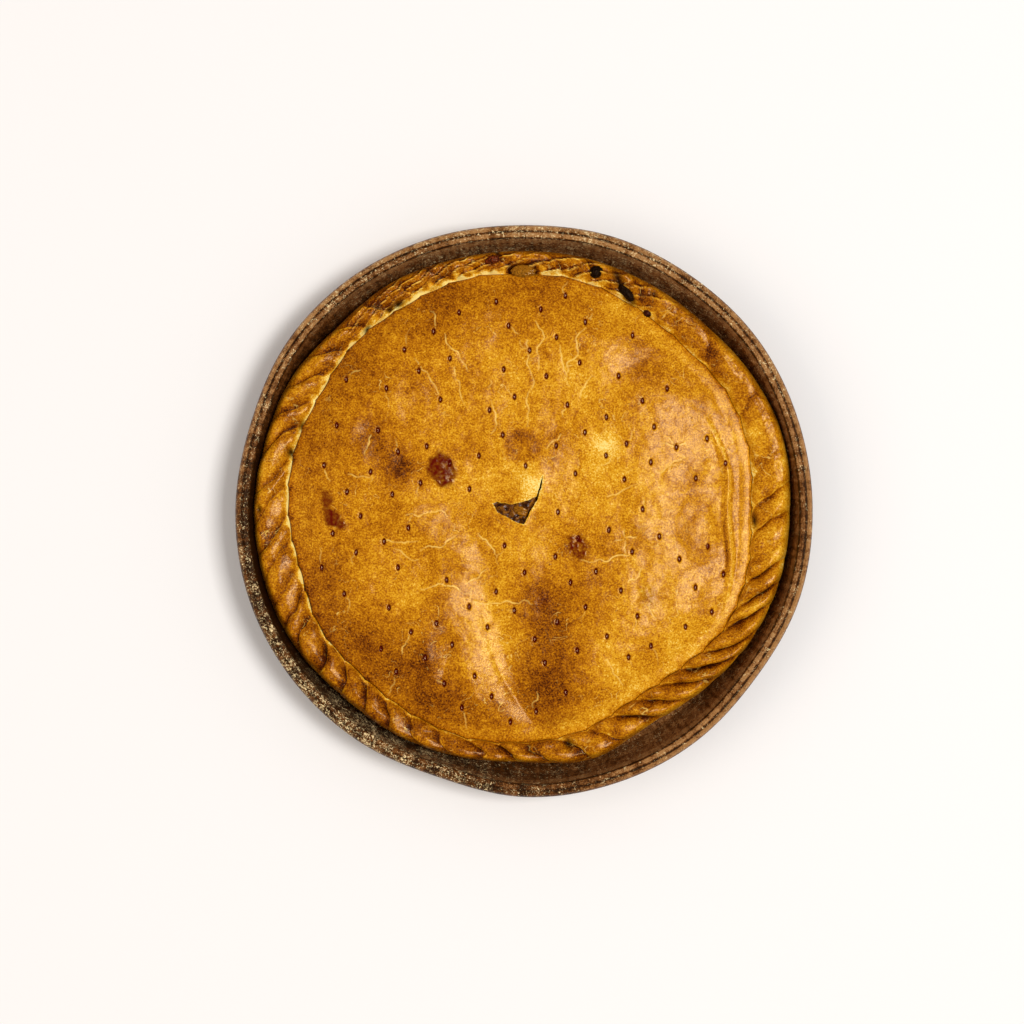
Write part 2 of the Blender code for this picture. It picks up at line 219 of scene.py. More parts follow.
@dataclass(frozen=True)
class Patch:
    """A soft oval area: a lump, a hollow, a browned or a pale place.

    The fields are its middle, half length, half width and the turn of its length, and how strong it is.
    """

    x: float
    y: float
    long: float
    wide: float
    turn: float
    amount: float
    edge: float = 2.0

    def at(self, x: np.ndarray, y: np.ndarray) -> np.ndarray:
        """Reads how strong the patch is.

        Args:
            x: places to the right of the middle.
            y: places behind the middle.

        Returns:
            The amount at each place, fading out over the patch's edge.
        """
        turn = math.radians(self.turn)
        along = (x - self.x) * math.cos(turn) + (y - self.y) * math.sin(turn)
        across = (y - self.y) * math.cos(turn) - (x - self.x) * math.sin(turn)
        away = np.sqrt((along / self.long) ** 2 + (across / self.wide) ** 2)
        return self.amount * np.exp(-0.5 * away ** self.edge)


@dataclass(frozen=True)
class Fold:
    """A fold line in the lid, with a sharp bottom and a soft bank on each side.

    Its route gives x, y and depth, and the two widths are those of the banks to its left and right.
    """

    route: tuple[tuple[float, float, float], ...]
    left: float
    right: float
    steps: int = 8

    def at(self, x: np.ndarray, y: np.ndarray) -> np.ndarray:
        """Reads how deep the fold is.

        Args:
            x: places to the right of the middle.
            y: places behind the middle.

        Returns:
            Depths, which fade out over the banks.
        """
        knots = np.arange(len(self.route), dtype=float)
        fine = np.linspace(0.0, knots[-1], self.steps * (len(self.route) - 1) + 1)
        line = np.column_stack([smooth_through(fine, knots, values) for values in zip(*self.route)])
        nearest = np.full(np.shape(x), np.inf)
        depth, side = np.zeros(np.shape(x)), np.zeros(np.shape(x))
        for (x0, y0, d0), (x1, y1, d1) in zip(line, line[1:]):
            dx, dy = x1 - x0, y1 - y0
            share = np.clip(((x - x0) * dx + (y - y0) * dy) / (dx * dx + dy * dy), 0.0, 1.0)
            away = np.hypot(x - x0 - share * dx, y - y0 - share * dy)
            closer = away < nearest
            nearest = np.where(closer, away, nearest)
            depth = np.where(closer, d0 + share * (d1 - d0), depth)
            side = np.where(closer, dx * (y - y0) - dy * (x - x0), side)
        width = np.where(side > 0.0, self.left, self.right)
        return depth * (1.0 - np.clip(nearest / width, 0.0, 1.0)) ** 1.4


def polar(radius: Numbers, angle: Numbers, height: Numbers) -> np.ndarray:
    """Places points round the pie.

    Args:
        radius: distances from the axis.
        angle: degrees.
        height: heights above the table.

    Returns:
        Rows of x, y and z.
    """
    turn = np.radians(angle)
    return np.stack(np.broadcast_arrays(radius * np.cos(turn), radius * np.sin(turn), height), axis=-1)


def bell(angle: Numbers, middle: float, width: float) -> np.ndarray:
    """Gives a soft bell round the pie, 1 at its middle.

    Args:
        angle: degrees.
        middle: the angle of its middle.
        width: degrees from its middle to where it has sunk to 0.61.

    Returns:
        Shares from 0 to 1.
    """
    away = (np.asarray(angle) - middle + FULL_TURN / 2.0) % FULL_TURN - FULL_TURN / 2.0
    return np.exp(-0.5 * (away / width) ** 2)


def hump(share: float, middle: float, width: float) -> float:
    """Gives a soft hump across the rope, 1 at its middle and 0.37 a width away from it."""
    return math.exp(-(((share - middle) / width) ** 2))


def lattice(pitch: float, half_rows: int, half_columns: int) -> np.ndarray:
    """Lays out points in staggered rows.

    Args:
        pitch: distance between neighbours in a row.
        half_rows: rows on each side of the middle one.
        half_columns: points on each side of a row's middle.

    Returns:
        Rows of x and y.
    """
    rows, columns = np.mgrid[-half_rows:half_rows + 1, -half_columns:half_columns + 1]
    return np.column_stack([((columns + 0.5 * (rows % 2)) * pitch).ravel(), (rows * pitch * 0.866).ravel()])


def smooth_through(x: np.ndarray, knots: Sequence[float], values: Sequence[float]) -> np.ndarray:
    """Reads the smooth curve through a few points.

    Args:
        x: where to read it.
        knots: the points' places, rising.
        values: the points' values.

    Returns:
        The curve's values.
    """
    knots, values = np.asarray(knots, float), np.asarray(values, float)
    slopes = np.gradient(values, knots)
    start = np.clip(np.searchsorted(knots, x) - 1, 0, len(knots) - 2)
    width = knots[start + 1] - knots[start]
    part = (x - knots[start]) / width
    before = (1.0 + 2.0 * part) * (1.0 - part) ** 2
    bend = slopes[start] * part * (1.0 - part) ** 2 - slopes[start + 1] * part ** 2 * (1.0 - part)
    return values[start] * before + values[start + 1] * (1.0 - before) + width * bend


@dataclass(frozen=True)
class Plan:
    """The pie and its mould seen from above."""

    rim: Ring = Ring((156.1, 156.3, 157.1, 156.3, 156.3, 155.0, 156.3, 157.7, 158.0, 155.8,
                      156.6, 156.6, 155.3, 153.6, 151.3, 154.7, 155.3, 155.5, 154.4, 156.3))
    rope_outer: Ring = Ring((144.7, 146.9, 144.7, 141.8, 141.5, 142.0, 142.0, 142.6,
                             144.2, 143.1, 146.3, 147.0, 148.2, 147.2, 145.3, 141.5,
                             140.4, 138.5, 136.6, 139.9, 135.0, 137.7, 142.0, 144.2))
    rope_inner: Ring = Ring((124.2, 127.4, 128.5, 125.8, 126.9, 129.6, 130.1, 131.2,
                             130.1, 130.7, 128.8, 130.1, 129.1, 126.9, 128.8, 126.4,
                             126.9, 128.0, 126.4, 124.2, 119.3, 121.2, 126.9, 126.6))
    crimp_angles: tuple[float, ...] = (1.0, 39.0, 61.0, 101.0, 138.0, 159.0, 181.0, 206.0, 233.5, 271.0,
                                       308.0, 336.0, 361.0)
    crimp_numbers: tuple[int, ...] = (0, 5, 7, 11, 16, 19, 22, 26, 30, 35, 40, 44, 48)
    lobe_reach: float = 1.0
    burst_middle: float = 95.0
    burst_half_width: float = 32.0
    rim_segments: int = 60

    @property
    def crimps(self) -> int:
        """Counts the crimps of the rope."""
        return self.crimp_numbers[-1]

    def middle(self) -> np.ndarray:
        """Finds the middle of the box round the rim, which the whole pie is moved onto.

        Returns:
            One row of x, y and 0.
        """
        angles = np.arange(self.rim_segments) * FULL_TURN / self.rim_segments
        rim = polar(self.rim.at(angles), angles, 0.0)
        return (rim.min(axis=0) + rim.max(axis=0)) / 2.0

    def crimp_angle(self, number: Numbers) -> np.ndarray:
        """Finds the angle of a crimp at the rope's inner edge.

        Args:
            number: crimp numbers, the whole ones being creases.

        Returns:
            Degrees.
        """
        turns = np.floor(number / self.crimps)
        rest = number - self.crimps * turns
        return FULL_TURN * turns + np.interp(rest, self.crimp_numbers, self.crimp_angles)

    def crimp_number(self, angle: np.ndarray) -> np.ndarray:
        """Finds the crimp number at angles of the rope's inner edge.

        Args:
            angle: degrees.

        Returns:
            Crimp numbers.
        """
        first = self.crimp_angles[0]
        return np.interp((angle - first) % FULL_TURN + first, self.crimp_angles, self.crimp_numbers)

    def lobe(self, number: np.ndarray) -> np.ndarray:
        """Gives the fullness of a crimp, steeper on its near side.

        Args:
            number: crimp numbers.

        Returns:
            0 in a crease and 1 on the lobe.
        """
        part = number - np.floor(number)
        return np.sin(np.pi * part ** 0.8) ** 0.6 * (part > 0.0)

    def lid_edge(self, number: np.ndarray) -> np.ndarray:
        """Gives the radius of the rope's inner edge, with the lobes reaching in over the lid.

        Args:
            number: crimp numbers.

        Returns:
            Radii.
        """
        return self.rope_inner.at(self.crimp_angle(number)) - self.lobe_reach * self.lobe(number)

    def burst(self, angle: np.ndarray) -> np.ndarray:
        """Gives how much the rope burst in the oven.

        Args:
            angle: degrees.

        Returns:
            Shares from 0 to 1.
        """
        return bell(angle, self.burst_middle, self.burst_half_width)

    def inset(self, x: np.ndarray, y: np.ndarray) -> np.ndarray:
        """Measures how far places lie inside the rope's smooth inner edge.

        Args:
            x: places to the right of the middle.
            y: places behind the middle.

        Returns:
            Distances, more than 0 on the lid.
        """
        return self.rope_inner.at(np.degrees(np.arctan2(y, x))) - np.hypot(x, y)


@dataclass
class Shell:
    """Points, faces and masks of one piece, gathered bit by bit."""

    points: list[np.ndarray] = field(default_factory=list)
    faces: list[np.ndarray] = field(default_factory=list)
    masks: dict[str, list[np.ndarray]] = field(default_factory=dict)
    count: int = 0

    def add_points(self, points: np.ndarray, **masks: Numbers) -> int:
        """Adds points with their masks.

        Args:
            points: rows of x, y and z in mm.
            masks: a value, or one value a point, for each named mask.

        Returns:
            The number of the first new point.
        """
        first = self.count
        self.points.append(points)
        self.count += len(points)
        for name in set(self.masks) | set(masks):
            held = self.masks.setdefault(name, [np.zeros(first)] if first else [])
            held.append(np.broadcast_to(masks.get(name, 0.0), len(points)))
        return first

    def add_rings(self, rings: np.ndarray, **masks: Numbers) -> int:
        """Adds rings of points with the quads between them.

        Args:
            rings: an array of rings, points in a ring, and x, y and z.
            masks: values for each named mask, one a point.

        Returns:
            The number of the first new point.
        """
        rows, around = rings.shape[:2]
        flat = {name: np.ravel(mask) for name, mask in masks.items()}
        first = self.add_points(rings.reshape(-1, 3), **flat)
        for row in range(rows - 1):
            here = first + row * around + np.arange(around)
            after = np.roll(here, -1)
            self.faces.append(np.stack([here, after, after + around, here + around], -1))
        return first

    def close_with_fan(self, ring_start: int, around: int,
                       middle: tuple[float, float] = (0.0, 0.0)) -> None:
        """Closes a ring with triangles to its middle, at the ring's mean height.

        Args:
            ring_start: the ring's first point.
            around: points in the ring.
            middle: the x and y of its middle.
        """
        ring = np.concatenate(self.points)[ring_start:ring_start + around]
        centre = self.add_points(np.array([[*middle, ring[:, 2].mean()]]))
        here = ring_start + np.arange(around)
        self.faces.append(np.stack([here, np.roll(here, -1), np.full(around, centre)], -1))

    def make(self, name: str, material: bpy.types.Material, middle: np.ndarray) -> bpy.types.Object:
        """Makes the mesh, in metres and centred, with its faces turned outwards.

        Args:
            name: the piece's name.
            material: its finish.
            middle: what is taken away from every point, in mm.

        Returns:
            The new object.
        """
        mesh = bpy.data.meshes.new(name)
        faces = [face for block in self.faces for face in block.tolist()]
        mesh.from_pydata(((np.concatenate(self.points) - middle) * MM).tolist(), [], faces)
        work = bmesh.new()
        work.from_mesh(mesh)
        bmesh.ops.recalc_face_normals(work, faces=work.faces)
        work.to_mesh(mesh)
        work.free()
        mesh.shade_smooth()
        for mask, blocks in self.masks.items():
            layer = mesh.attributes.new(mask, "FLOAT", "POINT")
            layer.data.foreach_set("value", np.concatenate(blocks).astype(np.float32))
        mesh.materials.append(material)
        piece = bpy.data.objects.new(name, mesh)
        bpy.context.scene.collection.objects.link(piece)
        return piece


@dataclass
class RingStack:
    """Rings of points that follow one another from the middle of the underside to the middle of the top."""

    masks: tuple[str, ...]
    rings: list[np.ndarray] = field(default_factory=list)
    values: dict[str, list[np.ndarray]] = field(default_factory=dict)

    def add(self, ring: np.ndarray, **values: Numbers) -> None:
        """Adds a ring.

        Args:
            ring: rows of x, y and z.
            values: a value, or one value a point, for each mask that isn't 0.
        """
        self.rings.append(ring)
        for name in self.masks:
            self.values.setdefault(name, []).append(values.get(name, 0.0) + np.zeros(len(ring)))

    def fill(self, shell: Shell) -> None:
        """Puts the rings into a shell and closes the first and the last.

        Args:
            shell: the shell, which may be empty.
        """
        around = len(self.rings[0])
        masks = {name: np.stack(rows) for name, rows in self.values.items()}
        first = shell.add_rings(np.stack(self.rings), **masks)
        shell.close_with_fan(first, around)
        shell.close_with_fan(first + (len(self.rings) - 1) * around, around)


def stand_for(piece: bpy.types.Object, node: str) -> None:
    """Sets a piece in the place of a solid.

    Args:
        piece: the finished piece.
        node: the solid that it stands for.
    """
    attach(piece, "root")
    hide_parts(node)
    LOG.info("%s: %d faces for %s", piece.name, len(piece.data.polygons), node)


@dataclass(frozen=True)
class GreaseproofPaper:
    """Brown greaseproof paper, pressed into a mould and pleated.

    The paper is faintly waxy, so it shows a soft sheen, and its crushed fibres show as gold flecks.
    """

    deep: str = "#260f02"
    body: str = "#6a3c15"
    worn: str = "#a97947"
    fleck: str = "#f2d79e"
    gloss_tint: str = "#ffdcb0"
    roughness: float = 0.5
    ior: float = 1.5
    shine: float = 0.25
    cloud_size: float = 3.4
    fleck_size: float = 1.2
    fibre_size: float = 0.8
    cloud_strength: float = 1.1
    fibre_strength: float = 1.6
    fleck_strength: float = 0.17
    relief: float = 0.25

    def make(self) -> bpy.types.Material:
        """Makes the material.

        Returns:
            The finish, which reads the masks for wear with painted light and shade, and for flecks.
        """
        material, tree, shader, place = start_material("greaseproof_paper")
        worn, flecks = (add_node(tree, "ShaderNodeAttribute", attribute_name=mask).outputs["Fac"]
                        for mask in ("worn", "flecks"))
        cloud = add_node(tree, "ShaderNodeTexNoise", {"Vector": place, "Scale": per_metre(self.cloud_size),
                                                      "Detail": 6.0, "Roughness": 0.7})
        # Real fibres are under 0.1 mm, too fine to show, so they are drawn 0.8 mm apart
        fibre = add_node(tree, "ShaderNodeTexNoise", {"Vector": place, "Scale": per_metre(self.fibre_size),
                                                      "Detail": 3.0, "Roughness": 0.6, "Distortion": 0.6})
        level = worn
        for noise, strength in ((cloud, self.cloud_strength), (fibre, self.fibre_strength)):
            level = add_node(tree, "ShaderNodeMath", {0: noise.outputs["Fac"], 1: strength, 2: level},
                             operation="MULTIPLY_ADD").outputs[0]
        tone = add_node(tree, "ShaderNodeValToRGB", {"Fac": level},
                        stops=((0.22, self.deep), (0.95, self.worn), (0.58, self.body)))
        crush = add_node(tree, "ShaderNodeTexNoise", {"Vector": place, "Scale": per_metre(self.fleck_size),
                                                      "Detail": 4.0, "Roughness": 0.65, "Distortion": 1.2})
        raised = add_node(tree, "ShaderNodeMath", {
            0: flecks, 1: self.fleck_strength, 2: crush.outputs["Fac"]}, operation="MULTIPLY_ADD")
        shown = add_node(tree, "ShaderNodeMapRange", {"Value": raised.outputs[0], "From Min": 0.68,
                                                      "From Max": 0.74}, interpolation_type="SMOOTHSTEP")
        colour = add_node(tree, "ShaderNodeMix", {0: shown.outputs[0], 6: tone.outputs["Color"],
                                                  7: linear(self.fleck)}, data_type="RGBA")
        bump = add_node(tree, "ShaderNodeBump", {"Height": level, "Strength": 0.6,
                                                 "Distance": self.relief * MM})
        fill_sockets(tree, shader, {
            "Base Color": colour.outputs[2], "Normal": bump.outputs["Normal"], "Roughness": self.roughness,
            "IOR": self.ior, "Specular IOR Level": self.shine, "Specular Tint": linear(self.gloss_tint)})
        return material


@dataclass(frozen=True)
class BakedDough:
    """Bread dough brushed with egg and baked golden.

    The egg wash leaves a soft shine that is grainy close up, saturated gold where it is thin, orange brown
    where it pooled, and the dough shows pale yellow wherever the skin split. Its masks are how far it baked
    together with painted light and shade, where it split, where hair cracks lie, where sugar burnt maroon,
    and where it is nearly black, from painted shadow and soot.
    """

    masks: ClassVar[tuple[str, ...]] = ("bake", "split", "crackle", "burnt", "soot")
    name: str
    tones: tuple[tuple[float, str], ...] = (
        (0.0, "#f8dc80"), (1.0, "#3c1403"), (0.18, "#ebb22c"), (0.36, "#d59214"), (0.54, "#b66f06"),
        (0.72, "#914f02"), (0.86, "#6f3402"))
    split: str = "#f3c760"
    burnt: str = "#5c0a03"
    # Near black, for painted shadow in pockets and pricks and for soot in burnt slits
    soot: str = "#160603"
    gloss_tint: str = "#ffe2b4"
    roughness: float = 0.2
    ior: float = 1.4
    shine: float = 0.42
    burnt_roughness: float = 0.09
    grain_size: float = 0.95
    cloud_size: float = 4.5
    bloom_size: float = 26.0
    crackle_size: float = 11.0
    crackle_width: float = 0.014
    grain_strength: float = 1.5
    cloud_strength: float = 0.62
    bloom_strength: float = 0.35
    relief: float = 0.16

    def make(self) -> bpy.types.Material:
        """Makes the material.

        Returns:
            The finish, which reads the masks.
        """
        material, tree, shader, place = start_material(self.name)
        bake, split, crackle, burnt, soot = (
            add_node(tree, "ShaderNodeAttribute", attribute_name=mask).outputs["Fac"] for mask in self.masks)
        # The skin's real grain is about 0.3 mm, too fine to show, so it is drawn 0.95 mm apart
        grain, cloud, bloom = (
            add_node(tree, "ShaderNodeTexNoise", {"Vector": place, "Scale": per_metre(size), "Detail": detail,
                                                  "Roughness": rough}).outputs["Fac"]
            for size, detail, rough in ((self.grain_size, 3.0, 0.75), (self.cloud_size, 5.0, 0.6),
                                        (self.bloom_size, 3.0, 0.5)))
        level = bake
        for noise, strength in ((grain, self.grain_strength), (cloud, self.cloud_strength),
                                (bloom, self.bloom_strength)):
            even = add_node(tree, "ShaderNodeMath", {0: noise, 1: 0.5}, operation="SUBTRACT")
            level = add_node(tree, "ShaderNodeMath", {0: even.outputs[0], 1: strength, 2: level},
                             operation="MULTIPLY_ADD").outputs[0]
        colour = add_node(tree, "ShaderNodeValToRGB", {"Fac": level}, stops=self.tones).outputs["Color"]
        cracked = add_node(tree, "ShaderNodeMath", {0: self.cracks(tree, place, cloud), 1: crackle},
                           operation="MULTIPLY")
        opened = add_node(tree, "ShaderNodeMath", {0: cracked.outputs[0], 1: split}, operation="MAXIMUM")
        # Over the tone, with its painted light and shade, go the pale splits, the maroon burns and the
        # near-black painted shadow
        for mask, tint in ((opened.outputs[0], self.split), (burnt, self.burnt), (soot, self.soot)):
            colour = add_node(tree, "ShaderNodeMix", {0: mask, 6: colour, 7: linear(tint)},
                              data_type="RGBA").outputs[2]
        height = add_node(tree, "ShaderNodeMath", {0: cloud, 1: 0.6, 2: grain}, operation="MULTIPLY_ADD")
        bump = add_node(tree, "ShaderNodeBump", {"Height": height.outputs[0], "Strength": 0.65,
                                                 "Distance": self.relief * MM})
        grainy = add_node(tree, "ShaderNodeMapRange", {
            "Value": grain, "From Min": 0.3, "From Max": 0.7, "To Min": self.roughness - 0.05,
            "To Max": self.roughness + 0.06})
        smooth = add_node(tree, "ShaderNodeMix", {0: burnt, 2: grainy.outputs[0], 3: self.burnt_roughness})
        fill_sockets(tree, shader, {
            "Base Color": colour, "Normal": bump.outputs["Normal"], "Roughness": smooth.outputs[0],
            "IOR": self.ior, "Specular IOR Level": self.shine, "Specular Tint": linear(self.gloss_tint)})
        return material

    def cracks(self, tree: bpy.types.NodeTree, place: bpy.types.NodeSocket,
               cloud: bpy.types.NodeSocket) -> bpy.types.NodeSocket:
        """Draws hair cracks where a slow noise crosses its middle value, broken up by the clouds.

        Args:
            tree: the material's node tree.
            place: the output that gives places on the piece.
            cloud: the output of the clouds' noise.

        Returns:
            The output that is 1 in a crack and 0 beside it.
        """
        vein = add_node(tree, "ShaderNodeTexNoise", {"Vector": place, "Scale": per_metre(self.crackle_size),
                                                     "Detail": 2.0, "Roughness": 0.5, "Distortion": 0.8})
        off = add_node(tree, "ShaderNodeMath", {0: vein.outputs["Fac"], 1: 0.5}, operation="SUBTRACT")
        away = add_node(tree, "ShaderNodeMath", {0: off.outputs[0]}, operation="ABSOLUTE")
        line = add_node(tree, "ShaderNodeMapRange", {
            "Value": away.outputs[0], "From Min": 0.0, "From Max": self.crackle_width, "To Min": 1.0,
            "To Max": 0.0}, interpolation_type="SMOOTHSTEP")
        whole = add_node(tree, "ShaderNodeMapRange", {"Value": cloud, "From Min": 0.47, "From Max": 0.56},
                         interpolation_type="SMOOTHSTEP")
        broken = add_node(tree, "ShaderNodeMath", {0: line.outputs[0], 1: whole.outputs[0]},
                          operation="MULTIPLY")
        return broken.outputs[0]


@dataclass(frozen=True)
class StewedFilling:
    """Salt cod, onion and oil stewed together.

    It is moist and glistens in small points, olive gold with paler flakes of fish.
    """

    dark: str = "#240d02"
    oil: str = "#5c3006"
    flake: str = "#9a6416"
    roughness: float = 0.22
    ior: float = 1.4
    shine: float = 0.35
    flake_size: float = 2.4
    relief: float = 0.5

    def make(self) -> bpy.types.Material:
        """Makes the material.

        Returns:
            The finish.
        """
        material, tree, shader, place = start_material("stewed_filling")
        bits = add_node(tree, "ShaderNodeTexNoise", {"Vector": place, "Scale": per_metre(self.flake_size),
                                                     "Detail": 4.0, "Distortion": 0.8})
        tone = add_node(tree, "ShaderNodeValToRGB", {"Fac": bits.outputs["Fac"]},
                        stops=((0.36, self.dark), (0.68, self.flake), (0.52, self.oil)))
        bump = add_node(tree, "ShaderNodeBump", {"Height": bits.outputs["Fac"], "Strength": 0.6,
                                                 "Distance": self.relief * MM})
        fill_sockets(tree, shader, {
            "Base Color": tone.outputs["Color"], "Normal": bump.outputs["Normal"],
            "Roughness": self.roughness, "IOR": self.ior, "Specular IOR Level": self.shine})
        return material


@dataclass(frozen=True)
class StewedOnion:
    """Onion cooked soft in oil.

    It is half clear and olive, so light glows in it, and its wet skin shows sharp white glints.
    """

    thin: str = "#ae7218"
    thick: str = "#653b07"
    gloss_tint: str = "#ffe2b4"
    roughness: float = 0.12
    ior: float = 1.4
    shine: float = 0.4
    glow: float = 0.15
    # How far red, green and blue light spread inside it, in mm
    spread: tuple[float, float, float] = (2.0, 1.2, 0.4)
    vein_size: float = 1.6
    relief: float = 0.3

    def make(self) -> bpy.types.Material:
        """Makes the material.

        Returns:
            The finish.
        """
        material, tree, shader, place = start_material("stewed_onion")
        veins = add_node(tree, "ShaderNodeTexNoise", {"Vector": place, "Scale": per_metre(self.vein_size),
                                                      "Detail": 3.0, "Distortion": 1.5})
        tone = add_node(tree, "ShaderNodeValToRGB", {"Fac": veins.outputs["Fac"]},
                        stops=((0.35, self.thick), (0.7, self.thin)))
        bump = add_node(tree, "ShaderNodeBump", {"Height": veins.outputs["Fac"], "Strength": 0.4,
                                                 "Distance": self.relief * MM})
        fill_sockets(tree, shader, {
            "Base Color": tone.outputs["Color"], "Normal": bump.outputs["Normal"],
            "Roughness": self.roughness, "IOR": self.ior, "Subsurface Weight": self.glow,
            "Subsurface Radius": tuple(reach * MM for reach in self.spread), "Subsurface Scale": 1.0,
            "Specular IOR Level": self.shine, "Specular Tint": linear(self.gloss_tint)})
        return material


class RaisinState(Enum):
    """How the oven left a raisin: skin colour, colour in the folds with painted shade, roughness."""

    BURNT = ("#1c0c05", "#060201", 0.5)
    STICKY = ("#43150b", "#140403", 0.3)
    GLOSSY = ("#7a3010", "#2a0c04", 0.22)


@dataclass(frozen=True)
class BakedRaisin:
    """Dried grape baked in dough.

    Its skin is wrinkled and nearly black, sticky where the juice came out, which gives small bright glints.
    """

    state: RaisinState
    gloss_tint: str = "#e8b890"
    ior: float = 1.45
    shine: float = 0.3
    fold_size: float = 1.4
    relief: float = 0.4

    def make(self) -> bpy.types.Material:
        """Makes the material.

        Returns:
            The finish.
        """
        skin, fold, roughness = self.state.value
        material, tree, shader, place = start_material("baked_raisin_" + self.state.name.lower())
        folds = add_node(tree, "ShaderNodeTexNoise", {"Vector": place, "Scale": per_metre(self.fold_size),
                                                      "Detail": 3.0, "Distortion": 1.0})
        # Darker where the wrinkles sink: painted shade in the folds
        tone = add_node(tree, "ShaderNodeValToRGB", {"Fac": folds.outputs["Fac"]},
                        stops=((0.4, fold), (0.65, skin)))
        bump = add_node(tree, "ShaderNodeBump", {"Height": folds.outputs["Fac"], "Strength": 0.6,
                                                 "Distance": self.relief * MM})
        fill_sockets(tree, shader, {
            "Base Color": tone.outputs["Color"], "Normal": bump.outputs["Normal"], "Roughness": roughness,
            "IOR": self.ior, "Specular IOR Level": self.shine, "Specular Tint": linear(self.gloss_tint)})
        return material


